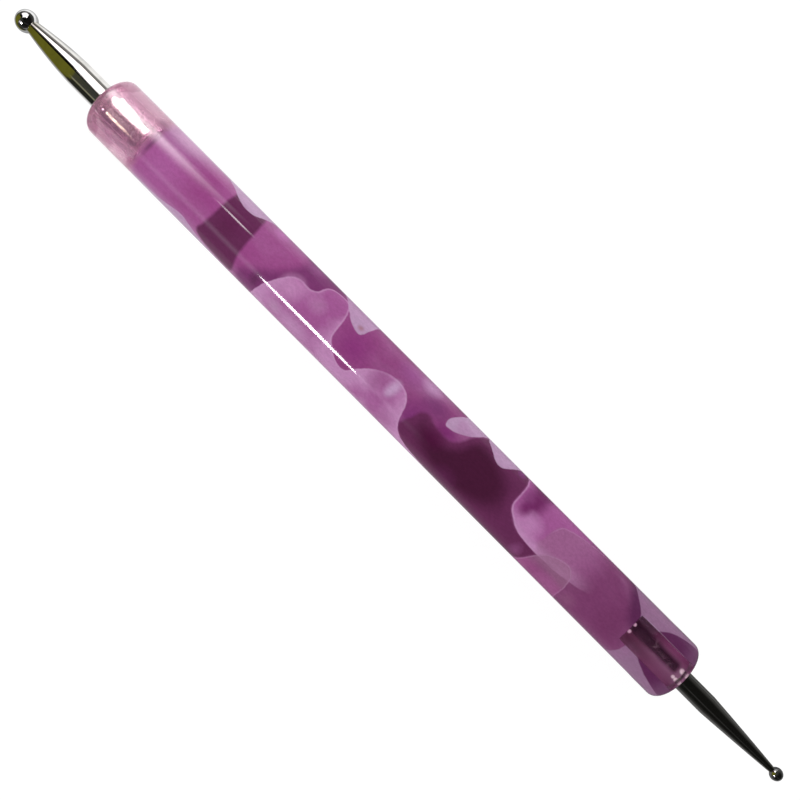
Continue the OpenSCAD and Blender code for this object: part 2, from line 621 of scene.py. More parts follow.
@dataclass(frozen=True)
class TipSizes:
    """Sizes of one ball tip."""

    end: End
    ball_d: float
    shank_d: float
    nose_d: float
    straight_len: float
    taper_len: float
    taper_bulge: float
    bore_depth: float
    fits: Fits = field(default_factory=Fits)

    @property
    def name(self) -> str:
        """The tip's name, as its CAD nodes start."""
        return self.end.name.lower()

    @property
    def bore_r(self) -> float:
        """Radius of the bore that takes the shank."""
        return self.shank_d / 2 + self.fits.glue_film

    @property
    def reach(self) -> float:
        """Distance from the end face to the ball's centre.

        Returns:
            The distance, found from the depth to which the ball sits in its cup.
        """
        cup_r = self.nose_d / 2 - self.fits.seat_land
        depth = math.sqrt((self.ball_d / 2 + self.fits.weld_gap) ** 2 - cup_r ** 2)
        return self.straight_len + self.taper_len + depth

    def outwards(self, points: Iterable[Point]) -> list[Point]:
        """Moves points from (distance out of the end face, radius) to (x, radius)."""
        return [(self.end.value * (self.fits.face + out), radius) for out, radius in points]

    def bore(self, inset: float = 0.0) -> list[Point]:
        """Profile of the bore from its floor on the axis out to its mouth in the end face.

        Args:
            inset: how far the profile is drawn in from the wall and the floor.

        Returns:
            Points (distance out of the end face, radius).
        """
        radius = self.bore_r - inset
        floor = inset - self.bore_depth
        corner_r = self.fits.bore_corner_r
        corner = arc((floor + corner_r, radius - corner_r), corner_r, 180, 90, CORNER_STEPS)
        return [(floor, 0.0), (floor, radius * self.fits.floor_ring), *corner,
                (-self.fits.mouth_chamfer, radius), (0.0, radius + self.fits.mouth_chamfer)]

    def taper(self, steps: int) -> list[Point]:
        """Side of the taper: an arc whose height over its chord is the bulge.

        Args:
            steps: number of straight pieces in the arc.

        Returns:
            Points (distance out of the end face, radius).
        """
        drop = (self.shank_d - self.nose_d) / 2
        chord = math.hypot(drop, self.taper_len)
        arc_r = ((chord / 2) ** 2 + self.taper_bulge ** 2) / (2 * self.taper_bulge)
        back = (arc_r - self.taper_bulge) / chord
        middle = (self.straight_len + self.taper_len / 2, (self.shank_d + self.nose_d) / 4)
        centre = (middle[0] - back * drop, middle[1] - back * self.taper_len)
        lean = math.degrees(math.atan2(drop, self.taper_len))
        sweep = math.degrees(math.asin(chord / 2 / arc_r))
        return arc(centre, arc_r, 90 - lean + sweep, 90 - lean - sweep, steps)

    def shank(self) -> list[Point]:
        """Profile of the turned shank with the cup that the ball is welded into.

        Returns:
            Points (x, radius).
        """
        fits = self.fits
        radius = self.shank_d / 2
        buried = fits.glue_pool - self.bore_depth
        cup_r = self.ball_d / 2 + fits.weld_gap
        edge = math.degrees(math.asin((self.nose_d / 2 - fits.seat_land) / cup_r))
        start = buried + fits.shank_chamfer
        rings = [start + step * RING_STEP for step in range(STRAIGHT_RINGS)]
        straight = [(out, radius) for out in rings if out < self.straight_len - RING_MARGIN]
        return self.outwards([
            (buried, 0.0), (buried, radius - fits.shank_chamfer), *straight, *self.taper(TAPER_STEPS),
            *arc((self.reach, 0.0), cup_r, 180 - edge, 180, CUP_STEPS),
        ])

    def ball(self) -> list[Point]:
        """Profile of the ball."""
        return self.outwards(arc((self.reach, 0.0), self.ball_d / 2, 180, 0, BALL_STEPS))

    def adhesive(self) -> list[Point]:
        """Profile of the cured adhesive: floor, outer wall, hollowed mouth and the wall along the shank.

        Returns:
            Points (x, radius).
        """
        fits = self.fits
        outer = self.bore(fits.bond_gap)
        inner_r = self.shank_d / 2 + fits.bond_gap
        bottom = fits.glue_pool - self.bore_depth - fits.bond_gap
        middle_r = (inner_r + self.bore_r + fits.mouth_chamfer) / 2
        mouth = [(-fits.mouth_chamfer * fits.hollow_middle, middle_r)]
        inner = [(-fits.mouth_chamfer * fits.hollow_at_shank, inner_r),
                 (bottom + fits.shank_chamfer, inner_r), (bottom, inner_r - fits.shank_chamfer),
                 (bottom, 0.0)]
        return self.outwards([*outer[:-1], (0.0, self.bore_r + fits.mouth_chamfer - fits.bond_gap),
                              *mouth, *inner])


LARGE_TIP = TipSizes(End.LARGE, ball_d=2.778, shank_d=3.45, nose_d=1.72, straight_len=5.4, taper_len=8.05,
                     taper_bulge=0.114, bore_depth=7.45)
SMALL_TIP = TipSizes(End.SMALL, ball_d=1.588, shank_d=2.5, nose_d=0.78, straight_len=5.15, taper_len=10.55,
                     taper_bulge=0.03, bore_depth=8.3)


# Marbling


class Layer(Enum):
    """Layers of colour in the acrylic, each carried by the barrel's mesh as a distance from its edge."""

    MIST = "mist"
    ROSE = "rose"
    DUSK = "dusk"
    PLUM = "plum"
    ORCHID = "orchid"
    BLOOM = "bloom"
    VEIL = "veil"
    FOLD = "fold"
    LILAC = "lilac"
    STREAK = "streak"
    CLEAR = "clear"


@dataclass(frozen=True)
class Swirl:
    """One closed outline on the unrolled barrel: (millimetres along X, degrees from +Z towards +Y)."""

    layer: Layer
    points: tuple[Point, ...]

    def outline(self, radius: float, steps: int = 7) -> np.ndarray:
        """Smooths the outline with a closed Catmull-Rom curve.

        Args:
            radius: radius of the barrel, which turns degrees into millimetres.
            steps: points for each stretch of the outline.

        Returns:
            Points in millimetres along and round the barrel.
        """
        knots = np.array([(x, math.radians(turn) * radius) for x, turn in self.points])
        before = np.roll(knots, 1, axis=0)
        after = np.roll(knots, -1, axis=0)
        beyond = np.roll(knots, -2, axis=0)
        curve = []
        for t in np.arange(steps) / steps:
            curve.append(0.5 * (2 * knots + (after - before) * t
                                + (2 * before - 5 * knots + 4 * after - beyond) * t ** 2
                                + (3 * knots - before - 3 * after + beyond) * t ** 3))
        return np.stack(curve, axis=1).reshape(-1, 2)


def inside_distance(places: np.ndarray, outline: np.ndarray) -> np.ndarray:
    """Distance of points from a closed outline.

    Args:
        places: points, one per row.
        outline: corners of the outline in order.

    Returns:
        Distances, positive inside the outline and negative outside.
    """
    start = outline
    step = np.roll(outline, -1, axis=0) - outline
    offset = places[:, None, :] - start[None]
    along = np.clip((offset * step).sum(2) / (step ** 2).sum(1), 0.0, 1.0)
    gap = offset - along[..., None] * step[None]
    nearest = np.sqrt((gap ** 2).sum(2).min(1))
    stop = start + step
    rises = (start[None, :, 1] > places[:, None, 1]) != (stop[None, :, 1] > places[:, None, 1])
    safe = np.where(step[:, 1] == 0.0, 1e-12, step[:, 1])
    crossing = start[None, :, 0] + offset[..., 1] / safe[None] * step[None, :, 0]
    inside = (rises & (places[:, None, 0] < crossing)).sum(1) % 2 == 1
    return np.where(inside, nearest, -nearest)


@dataclass(frozen=True)
class Marbling:
    """The swirls cast into the rod."""

    radius: float
    swirls: tuple[Swirl, ...]
    reach: float = 3.0

    def mark(self, mesh: bpy.types.Mesh) -> None:
        """Writes each layer's distance to every vertex of the barrel.

        Args:
            mesh: the barrel's mesh, changed in place.
        """
        places = vertex_places(mesh) / MM
        turn = np.arctan2(places[:, 1], places[:, 2]) * self.radius
        flat = np.stack([places[:, 0], turn], axis=1)
        for layer in Layer:
            distance = np.full(len(flat), -self.reach)
            for swirl in self.swirls:
                if swirl.layer is layer:
                    self._spread(swirl, flat, distance)
            stored = mesh.attributes.new(layer.value, "FLOAT", "POINT")
            stored.data.foreach_set("value", distance.astype(np.float32))

    def _spread(self, swirl: Swirl, flat: np.ndarray, distance: np.ndarray) -> None:
        """Raises distances near one swirl, also where it runs past the back of the rod.

        Args:
            swirl: the swirl.
            flat: vertices in millimetres along and round the barrel.
            distance: the layer's distances, changed in place.
        """
        outline = swirl.outline(self.radius)
        low = outline.min(0) - self.reach
        high = outline.max(0) + self.reach
        for lap in (-1, 0, 1):
            moved = flat + (0.0, lap * math.tau * self.radius)
            near = np.flatnonzero(((moved > low) & (moved < high)).all(1))
            for part in np.array_split(near, max(1, len(near) // 4000)):
                if len(part):
                    found = np.clip(inside_distance(moved[part], outline), -self.reach, self.reach)
                    distance[part] = np.maximum(distance[part], found)


# Outlines of each layer's swirls, in millimetres along X and degrees from +Z towards +Y.
OUTLINES: dict[Layer, tuple[tuple[Point, ...], ...]] = {
    Layer.MIST: (
        ((-49, 100), (-36, 98), (-31, 80), (-32.5, 62), (-34.5, 40), (-36.5, 24), (-39, 20), (-49, 18)),
        ((-49, -62), (-30, -60), (-22, -72), (-24, -96), (-49, -100)),
        ((2.2, 98), (2.3, 68), (2.9, 50), (3.9, 42), (4.9, 48), (5.6, 62), (6.2, 98)),
        ((-23.3, 98), (-23.0, 76), (-21.5, 66), (-19.5, 64), (-17.6, 72), (-17, 98)),
    ),
    Layer.ROSE: (
        ((-46.2, -12), (-45.7, -28), (-44.9, -42), (-43.9, -54), (-42.8, -61), (-39.5, -66), (-38.6, -40),
         (-38.8, -12), (-42, -6)),
    ),
    Layer.DUSK: (
        ((-16.7, 84), (-16.6, 55), (-16.9, 35), (-17.5, 15), (-18.4, 0), (-19.6, -15), (-20.9, -30),
         (-21.9, -45), (-22.1, -62), (-20.8, -76), (-17, -60), (-14, 0), (-11, 50), (-11.8, 84)),
        ((36.6, 72), (37.4, 76), (39.6, 60), (40.4, 20), (39.6, 2), (38.6, 4), (37.8, 18), (37.1, 36),
         (36.7, 54)),
        ((41.2, 12), (42.2, 50), (45, 70), (49, 78), (49.4, 10)),
        ((41.2, -10), (42.2, -44), (45, -60), (49, -72), (49.4, -8)),
        ((30, 150), (36, 140), (41, 165), (39, 200), (33, 214), (29, 190)),
    ),
    Layer.PLUM: (
        ((-28.5, 95), (-28.4, 60), (-28.3, 30), (-28.2, 0), (-28.5, -30), (-28.9, -50), (-27.8, -63),
         (-25.5, -70), (-23.2, -72), (-22.6, -58), (-22.9, -30), (-23.0, 0), (-23.3, 30), (-23.6, 50),
         (-24.0, 66), (-24.2, 95)),
        ((5.3, 9), (6.2, 12.5), (7.0, 8), (8.4, 4), (9.7, 5.5), (10.5, 13), (10.95, 24), (11.3, 36),
         (11.85, 50), (12.3, 60), (12.8, 68), (13.2, 82), (13.6, 100), (15, 112), (17.5, 110), (19.1, 95),
         (19.6, 75), (19.75, 62), (19.85, 48), (19.85, 30), (19.85, 14), (20.0, 4), (20.4, -3), (21.0, -9),
         (21.8, -16), (22.8, -21.5), (24.2, -24.3), (26.1, -25), (25.7, -33), (25.4, -45), (25.1, -58),
         (24.6, -71), (23.2, -86), (20, -96), (14, -92), (10.5, -80), (8, -72), (6.6, -66), (5.6, -59),
         (4.9, -51), (4.4, -43), (4.2, -34), (4.4, -22), (4.8, -10), (4.95, 0)),
        ((-14, 118), (-8, 125), (-3, 140), (0, 160), (-2, 185), (-8, 200), (-15, 195), (-19, 170),
         (-18, 140)),
    ),
    Layer.ORCHID: (
        ((-19.4, -86), (-19.1, -60), (-18.8, -45), (-18.45, -30), (-18.0, -18), (-17.6, -8), (-17.1, 3),
         (-16.6, 12), (-16.0, 18.5), (-15.3, 21), (-14.5, 20), (-13.8, 21.5), (-13.2, 28), (-13.0, 38),
         (-12.8, 47), (-12.4, 54), (-11.8, 59), (-11.0, 61.5), (-10.2, 61), (-9.7, 57), (-9.3, 49),
         (-9.05, 41), (-8.8, 31), (-8.6, 19), (-8.5, 7), (-8.4, -4), (-8.2, -12), (-7.8, -19), (-7.2, -26),
         (-6.7, -32), (-6.0, -37.5), (-5.3, -40), (-4.7, -38), (-4.2, -31), (-3.8, -22), (-3.4, -15),
         (-2.8, -6), (-2.0, 3), (-1.0, 10.5), (0.0, 14.8), (1.0, 16), (1.9, 14), (2.6, 8.5), (3.1, 1),
         (3.4, -7), (3.65, -18), (3.95, -31), (4.4, -43), (4.9, -51), (5.6, -59), (6.6, -66), (8, -72),
         (9.5, -80), (10, -95), (4, -112), (-4, -104), (-12, -112), (-18, -104)),
        ((19.3, 96), (19.6, 75), (19.75, 62), (19.85, 48), (19.85, 30), (19.85, 14), (20.0, 4), (20.4, -3),
         (21.0, -9), (21.8, -16), (22.8, -21.5), (24.2, -24.3), (26.1, -25), (29.5, -22), (33.5, -8),
         (35.5, 20), (36, 45), (35.5, 70), (34, 95), (24, 108)),
        ((-40, 132), (-36, 118), (-31, 140), (-27, 155), (-24, 175), (-27, 200), (-33, 215), (-38, 205),
         (-41, 170)),
        ((22, 128), (28, 122), (34, 138), (37, 162), (35, 190), (29, 212), (24, 204), (20, 172)),
    ),
    Layer.BLOOM: (
        ((20.9, 92), (20.7, 60), (20.75, 40), (21.05, 22), (21.5, 11), (22.1, 12), (22.8, 24), (23.1, 40),
         (23.3, 60), (23.7, 92)),
        ((26.9, -30), (27.9, -26), (28.9, -34), (29.4, -52), (29.2, -74), (27.2, -80), (26.3, -60),
         (26.4, -42)),
    ),
    Layer.VEIL: (
        ((26.1, -25), (26.6, -14), (27.3, -8), (28.2, -2.5), (29.2, 0.5), (29.8, -1.5), (30.3, -7),
         (30.7, -16), (30.9, -28), (31.0, -42), (31.1, -60), (31.3, -85), (29.5, -104), (26, -108),
         (24.6, -92), (24.9, -70), (25.3, -50), (25.7, -34)),
        ((6, 142), (12, 134), (17, 150), (18, 180), (14, 206), (8, 200), (5, 172)),
    ),
    Layer.FOLD: (
        ((25.2, -14), (25.2, 2), (25.35, 17), (25.6, 30), (26.1, 41), (27, 48.5), (28.2, 55), (29.5, 61),
         (31, 67), (33, 74), (36, 90), (44, 96), (44, -30), (28, -34)),
    ),
    Layer.LILAC: (
        ((-31.4, 95), (-30.8, 78), (-30.1, 69), (-29.4, 62.5), (-28.7, 56), (-28.0, 50), (-27.4, 45.5),
         (-26.8, 42.8), (-26.2, 42), (-25.6, 42), (-24.9, 46), (-24.3, 53), (-23.8, 61), (-23.3, 69),
         (-22.8, 77), (-22.3, 90), (-23.5, 115), (-27, 126), (-31, 116)),
        ((-49.5, -66), (-43.5, -70), (-38, -71), (-35.2, -67), (-33.4, -59), (-32.2, -53.5), (-31.2, -52.5),
         (-30, -57), (-28.4, -66), (-26.4, -73), (-24, -79), (-22.4, -90), (-26, -108), (-36, -118),
         (-49.5, -118)),
        ((-11.6, 95), (-11.0, 78), (-10.5, 67), (-10.0, 58), (-9.4, 48), (-8.8, 40), (-8.2, 33),
         (-7.5, 27.5), (-6.8, 25), (-6.3, 25.5), (-5.95, 31), (-5.8, 42), (-5.6, 55), (-5.4, 70), (-5.2, 95),
         (-7, 112), (-10, 110)),
        ((8.2, 19.5), (7.95, 27), (8.1, 37), (8.5, 49), (8.95, 60), (9.35, 72), (9.7, 90), (10.5, 108),
         (12.6, 106), (13.2, 90), (12.8, 75), (12.4, 64), (12.0, 53), (11.5, 43), (10.9, 34.5), (10.2, 27.5),
         (9.4, 22.5), (8.7, 20)),
        ((12.9, 95), (13.0, 78), (13.2, 66), (13.8, 57), (14.4, 48), (15.0, 40.5), (15.7, 37), (16.3, 39.5),
         (16.9, 47), (17.4, 57), (17.9, 67), (18.3, 78), (18.4, 92), (17.6, 108), (14.5, 110)),
        ((36.6, 98), (37.0, 80), (37.3, 69), (37.75, 55), (38.2, 46), (38.7, 37), (39.2, 28), (39.6, 18),
         (41.6, 18), (42.0, 30), (42.6, 38), (43.3, 45.5), (44.2, 53), (45.3, 59.5), (46.6, 64.5),
         (48.6, 69), (48.8, 100), (44, 118), (39, 116)),
        ((40.4, -14), (40.35, -30), (40.3, -45), (40.1, -60), (39.8, -78), (39.5, -98), (42, -118),
         (46.5, -116), (48.8, -98), (48.6, -63), (46.8, -54.5), (45.4, -47.5), (44.2, -41), (43.1, -34),
         (42.2, -26), (41.8, -14)),
        ((-4, 172), (2, 160), (6, 172), (5.5, 190), (1, 206), (-3, 200)),
        ((-24, 152), (-20, 140), (-17.5, 156), (-18, 180), (-21, 196), (-24.5, 180)),
    ),
    Layer.STREAK: (
        ((0.5, -13), (0.4, 0), (0.6, 12), (1.1, 15), (1.5, 8), (1.4, -6), (1.0, -15)),
    ),
    Layer.CLEAR: (
        ((39.3, 26), (39.6, 29), (42, 29.5), (46, 29.5), (49.5, 29.5), (49.8, 0), (49.5, -27), (46, -27),
         (42, -27), (39.6, -26.5), (39.3, -24), (39.25, -10), (39.25, 12)),
        ((39.3, 206), (39.6, 209), (42, 210), (46, 210), (49.5, 210), (49.8, 180), (49.5, 151), (46, 151),
         (42, 151), (39.6, 152), (39.3, 155), (39.25, 170), (39.25, 192)),
        ((-40.9, 92), (-40.3, 70), (-39.7, 50), (-39.3, 30), (-39.1, 0), (-39.3, -30), (-39.7, -50),
         (-40.3, -70), (-40.9, -92), (-49.5, -95), (-49.5, 95)),
        ((-40.9, 270), (-41.8, 225), (-42.7, 180), (-41.8, 135), (-40.9, 90), (-49.5, 88), (-49.5, 180),
         (-49.5, 272)),
    ),
}
SWIRLS: tuple[Swirl, ...] = tuple(
    Swirl(layer, outline) for layer, outlines in OUTLINES.items() for outline in outlines)


@dataclass(frozen=True)
class Cloud:
    """A soft cloud of colour: where it is (millimetres along X, degrees from +Z), its reach and share."""

    at: Point
    reach: Point
    colour: Colour
    share: float

    def strength(self, bench: NodeBench, radius: float) -> Signal:
        """How strongly the cloud shows at each place.

        Args:
            bench: the material's bench.
            radius: radius of the barrel.

        Returns:
            1 at the cloud's centre and 0 at its rim.
        """
        turn = math.radians(self.at[1])
        middle = (self.at[0], radius * math.sin(turn), radius * math.cos(turn))
        return bench.spot(middle, (self.reach[0], self.reach[1], self.reach[1]))


CLOUDS: tuple[Cloud, ...] = (
    Cloud((-36.5, -12), (5.0, 5.0), (0.40, 0.113, 0.325), 0.9),
    Cloud((32.0, 0), (2.6, 2.4), (0.155, 0.032, 0.105), 0.55),
    Cloud((32.2, -46), (1.8, 1.6), (0.27, 0.10, 0.20), 0.5),
    Cloud((-31.0, 15), (3.2, 4.0), (0.30, 0.058, 0.215), 0.6),
    Cloud((-5.6, 2), (3.8, 3.6), (0.245, 0.037, 0.185), 0.95),
    Cloud((1.5, 45), (3.2, 2.4), (0.32, 0.092, 0.28), 0.7),
    Cloud((6.0, 30), (3.2, 2.2), (0.18, 0.039, 0.15), 0.8),
    Cloud((4.7, -12), (2.7, 3.6), (0.20, 0.034, 0.163), 0.95),
    Cloud((8.9, 12), (2.9, 1.5), (0.195, 0.028, 0.15), 0.95),
    Cloud((38.0, -20), (4.0, 4.0), (0.165, 0.036, 0.115), 0.8),
    Cloud((-37.2, 62), (4.6, 3.0), (0.52, 0.27, 0.46), 0.8),
)
BLUSHES: tuple[Cloud, ...] = (
    Cloud((-15.6, -2), (2.6, 2.8), (0.53, 0.25, 0.47), 0.8),
    Cloud((-12.8, -50), (4.8, 2.4), (0.50, 0.26, 0.46), 0.8),
    Cloud((20.9, 32), (1.3, 3.0), (0.22, 0.050, 0.175), 0.7),
    Cloud((4.1, 58), (2.3, 2.0), (0.48, 0.26, 0.46), 0.75),
    Cloud((29.0, -52), (2.2, 1.8), (0.33, 0.10, 0.25), 0.6),
    Cloud((22.9, 3), (2.8, 2.2), (0.49, 0.215, 0.44), 0.9),
    Cloud((-1.0, -2), (2.3, 2.6), (0.285, 0.078, 0.225), 0.68),
    Cloud((-21.3, 66), (1.7, 1.9), (0.50, 0.16, 0.44), 0.6),
    Cloud((2.6, -53), (2.6, 2.0), (0.32, 0.10, 0.26), 0.6),
    Cloud((21.4, 16), (1.1, 1.5), (0.155, 0.018, 0.110), 0.85),
    Cloud((8.2, -11), (2.4, 2.2), (0.078, 0.005, 0.044), 0.6),
    Cloud((-26.0, -6), (2.2, 2.4), (0.105, 0.017, 0.065), 0.55),
    Cloud((-19.6, -38), (1.1, 1.9), (0.110, 0.028, 0.085), 0.7),
    Cloud((-12.0, 10), (1.9, 1.7), (0.50, 0.26, 0.45), 0.38),
    Cloud((-15.9, -50), (1.6, 1.8), (0.50, 0.31, 0.47), 0.5),
    Cloud((-15.4, 66), (2.0, 2.0), (0.45, 0.165, 0.40), 0.28),
    Cloud((18.6, 70), (1.0, 1.5), (0.21, 0.038, 0.19), 0.85),
    Cloud((24.0, -50), (1.2, 1.9), (0.24, 0.066, 0.19), 0.7),
    Cloud((12.2, -46), (2.5, 2.1), (0.130, 0.022, 0.095), 0.38),
)
SPECK = Cloud((-6.7, 36), (0.7, 0.6), (0.30, 0.11, 0.11), 0.6)
# Painted shade where the large bore's floor shows through the clear end: a brownish painted shadow to the
# far side and a dark magenta one across the middle.
BORE_FLOOR_SHADE: tuple[Cloud, ...] = (
    Cloud((-40.3, 47), (1.5, 1.1), (0.30, 0.13, 0.22), 1.0),
    Cloud((-39.2, 0), (0.5, 2.3), (0.19, 0.055, 0.15), 1.0),
)


class Paint:
    """Colours laid over one another on the barrel, from the deepest to the nearest."""

    # How far a layer's edge wanders, in millimetres, and how much of that a cloud's rim takes.
    WANDER = 0.16
    RAGGEDNESS = 0.6

    def __init__(self, bench: NodeBench, ground: bpy.types.NodeSocket, radius: float) -> None:
        """Starts with one colour.

        Args:
            bench: the material's bench.
            ground: the deepest colour.
            radius: radius of the barrel.
        """
        self.bench = bench
        self.body = ground
        self.radius = radius
        self.wobble = (bench.noise((0.9, 1.4, 1.4), 2.0) - 0.5) * self.WANDER

    def over(self, share: Input, colour: Input) -> None:
        """Lays a colour over what is there."""
        self.body = self.bench.mix(share, self.body, colour)

    def depth(self, layer: Layer) -> Signal:
        """Millimetres in from a layer's edge."""
        return self.bench.attribute(layer.value) + self.wobble

    def edge(self, layer: Layer, soft: float) -> Signal:
        """Share of a layer that shows, easing over soft millimetres each side of its edge."""
        return self.depth(layer).ramp(-soft, soft)

    def line(self, layer: Layer, low: float, high: float, soft: float) -> Signal:
        """A line that follows a layer's edge on its inside, from low to high millimetres in."""
        return self.depth(layer).band(low, high, soft)

    def cast(self, clouds: Iterable[Cloud]) -> None:
        """Lays soft clouds over what is there.

        Args:
            clouds: the clouds, deepest first.
        """
        for cloud in clouds:
            spot = cloud.strength(self.bench, self.radius)
            ragged = (spot + self.wobble * self.RAGGEDNESS) * spot.ramp(0.0, 0.3)
            self.over(ragged * cloud.share, cloud.colour)


@dataclass(frozen=True)
class MarbledAcrylic:
    """Polished cast acrylic: layers of pearly colour under a clear gloss, see-through at its ends."""

    name: str = "marbled_cast_acrylic"
    # The magenta ground darkens towards +X: partly the acrylic's own colour and partly painted light falloff
    # away from the large end.
    magenta_bright: Colour = (0.33, 0.068, 0.245)
    magenta_deep: Colour = (0.19, 0.046, 0.137)
    mist: Colour = (0.40, 0.17, 0.35)
    rose: Colour = (0.50, 0.22, 0.37)
    milk: Colour = (0.56, 0.285, 0.40)
    dusk: Colour = (0.175, 0.034, 0.138)
    wedge: Colour = (0.096, 0.0195, 0.077)
    plum_edge: Colour = (0.128, 0.025, 0.086)
    plum_heart: Colour = (0.062, 0.0105, 0.036)
    orchid_pale: Colour = (0.50, 0.235, 0.45)
    orchid_deep: Colour = (0.345, 0.095, 0.28)
    rim: Colour = (0.54, 0.28, 0.49)
    bloom: Colour = (0.15, 0.02, 0.107)
    veil: Colour = (0.300, 0.132, 0.235)
    veil_low: Colour = (0.37, 0.10, 0.27)
    # The lilac darkens towards +X: partly its own colour and partly painted light falloff away from the
    # large end.
    lilac_bright: Colour = (0.475, 0.295, 0.47)
    lilac_dim: Colour = (0.29, 0.155, 0.268)
    streak: Colour = (0.57, 0.385, 0.59)
    tint_large: Colour = (0.68, 0.41, 0.54)
    tint_small: Colour = (0.96, 0.86, 0.91)
    glow: Colour = (0.44, 0.20, 0.32)
    radius: float = 4.0
    clouds: tuple[Cloud, ...] = CLOUDS
    blushes: tuple[Cloud, ...] = BLUSHES
    speck: Cloud = SPECK
    # Painted shade of the large bore's floor.
    marks: tuple[Cloud, ...] = BORE_FLOOR_SHADE
    gloss_roughness: float = 0.035
    pigment_roughness: float = 0.42
    resin_roughness: float = 0.02
    glow_share: float = 0.55
    # How far the painted shade of the large bore's floor clouds the clear resin, so that it shows.
    shade_cover: float = 0.75
    wave_depth: float = 0.002
    hairline_depth: float = 0.000004
    # Stretches along the barrel: between its clear ends, at the large bore's floor, where the middle's
    # colours fade, and before the small end face.
    between_ends: Point = (-38.0, 38.0)
    bore_floor: Point = (-40.6, -39.0)
    small_end_starts: Point = (28.0, 34.0)
    small_face: Point = (45.0, 48.0)
    # At the large end and at the small one: how softly the resin clears, in millimetres, and how far.
    clearing: Point = (0.5, 0.12)
    clearest: Point = (0.62, 0.90)

    def build(self) -> bpy.types.Material:
        """Builds the material.

        Returns:
            The material.
        """
        material, bench = NodeBench.for_material(self.name)
        place = bench.split(bench.place())
        colour = self._colour(bench, place)
        normal = self._relief(bench)
        pigment = bench.shader("BsdfPrincipled", {
            "Base Color": colour, "Roughness": self.pigment_roughness, "IOR": ACRYLIC_INDEX,
            "Specular IOR Level": 0.0, "Coat Weight": 1.0, "Coat Roughness": self.gloss_roughness,
            "Coat IOR": ACRYLIC_INDEX, "Normal": normal, "Coat Normal": normal})
        tint = bench.mix(place[0].ramp(*self.between_ends), self.tint_large, self.tint_small)
        glowing = bench.shader("BsdfTranslucent", {"Color": bench.mix(self.glow_share, colour, self.glow)})
        from_inside = bench.node("ShaderNodeNewGeometry").outputs["Backfacing"]
        dye = bench.blend(from_inside, pigment, glowing)
        clearness = self._clearness(bench, place[0])
        resin = bench.clear_resin(tint, self.resin_roughness, normal)
        bench.surface(bench.blend(clearness, dye, resin))
        return material

    def _clearness(self, bench: NodeBench, along: Signal) -> Signal:
        """How clear the resin is: not at all along the middle, most at the small end, and less under the
        painted shade of the large bore's floor.

        Args:
            bench: the material's bench.
            along: millimetres along the barrel.

        Returns:
            Share of the clear resin.
        """
        soft = along.ramp(*self.between_ends, *self.clearing)
        most = along.ramp(*self.between_ends, *self.clearest)
        clearness = (bench.attribute(Layer.CLEAR.value) / soft).ramp(-1, 1) * most
        # The resin is clouded under the painted shade of the large bore's floor.
        for mark in self.marks:
            shade_covered = mark.strength(bench, self.radius).ramp(0.0, 0.6) * self.shade_cover * mark.share
            clearness = clearness * (1.0 - shade_covered)
        return clearness

    def _colour(self, bench: NodeBench, place: tuple[Signal, Signal, Signal]) -> bpy.types.NodeSocket:
        """Lays the colours over one another from the deepest to the nearest.

        Args:
            bench: the material's bench.
            place: millimetres along the barrel, to its far side and up.

        Returns:
            The colour of the acrylic.
        """
        along, side, _ = place
        flow = bench.noise((0.17, 0.24, 0.24), 3.0, 0.7)
        # Darker towards +X: partly the acrylic's own colour and partly painted light falloff.
        ground = bench.mix(along.ramp(-42, 46), self.magenta_bright, self.magenta_deep)
        paint = Paint(bench, ground, self.radius)
        paint.over(flow.ramp(0.35, 0.7, 0.0, 0.16), self.orchid_pale)
        paint.over(paint.edge(Layer.MIST, 2.2) * 0.85, self.mist)
        paint.cast(self.clouds)
        self._dark_layers(paint, along)
        self._orchid_layers(paint, along, side, flow)
        self._veils(paint, along, side)
        paint.cast(self.blushes)
        # Dimmer towards +X: partly the lilac's own colour and partly painted light falloff.
        lilac = bench.mix(along.ramp(16, 40), self.lilac_bright, self.lilac_dim)
        lilac = bench.mix(flow.ramp(0.4, 0.7, 0.0, 0.25), lilac, self.orchid_deep)
        paint.over(paint.edge(Layer.LILAC, 0.09) * 0.96, lilac)
        paint.cast((self.speck,))
        paint.over(paint.edge(Layer.STREAK, 0.6) * 0.75, self.streak)
        milk = bench.mix(paint.edge(Layer.ROSE, 0.35), self.milk, self.rose)
        paint.over(along.ramp(*self.bore_floor, 1.0, 0.0), milk)
        paint.over(along.ramp(*self.small_face, 0.0, 0.34), self.lilac_dim)
        # Painted shade of the large bore's floor.
        paint.cast(self.marks)
        grain = bench.noise((2.2, 3.0, 3.0), 3.0, 0.0, 0.7).ramp(0.3, 0.7, 0.93, 1.07)
        return bench.mix(1.0, paint.body, bench.grey(grain), "MULTIPLY")

    def _dark_layers(self, paint: Paint, along: Signal) -> None:
        """Lays the dusk, which is darker in the small end's wedges, and the plum with its dark heart.

        Args:
            paint: what is there, changed in place.
            along: millimetres along the barrel.
        """
        bench = paint.bench
        dusk = bench.mix(along.ramp(25, 36), self.dusk, self.wedge)
        paint.over(paint.edge(Layer.DUSK, 0.8) * 0.9, dusk)
        heart = bench.spot((12.5, -0.3, 4.0), (10.5, 5.2, 7.0)).ramp(0.05, 0.6)
        plum = bench.mix(heart * paint.depth(Layer.PLUM).ramp(0.0, 1.6), self.plum_edge, self.plum_heart)
        paint.over(paint.edge(Layer.PLUM, 0.28), plum)

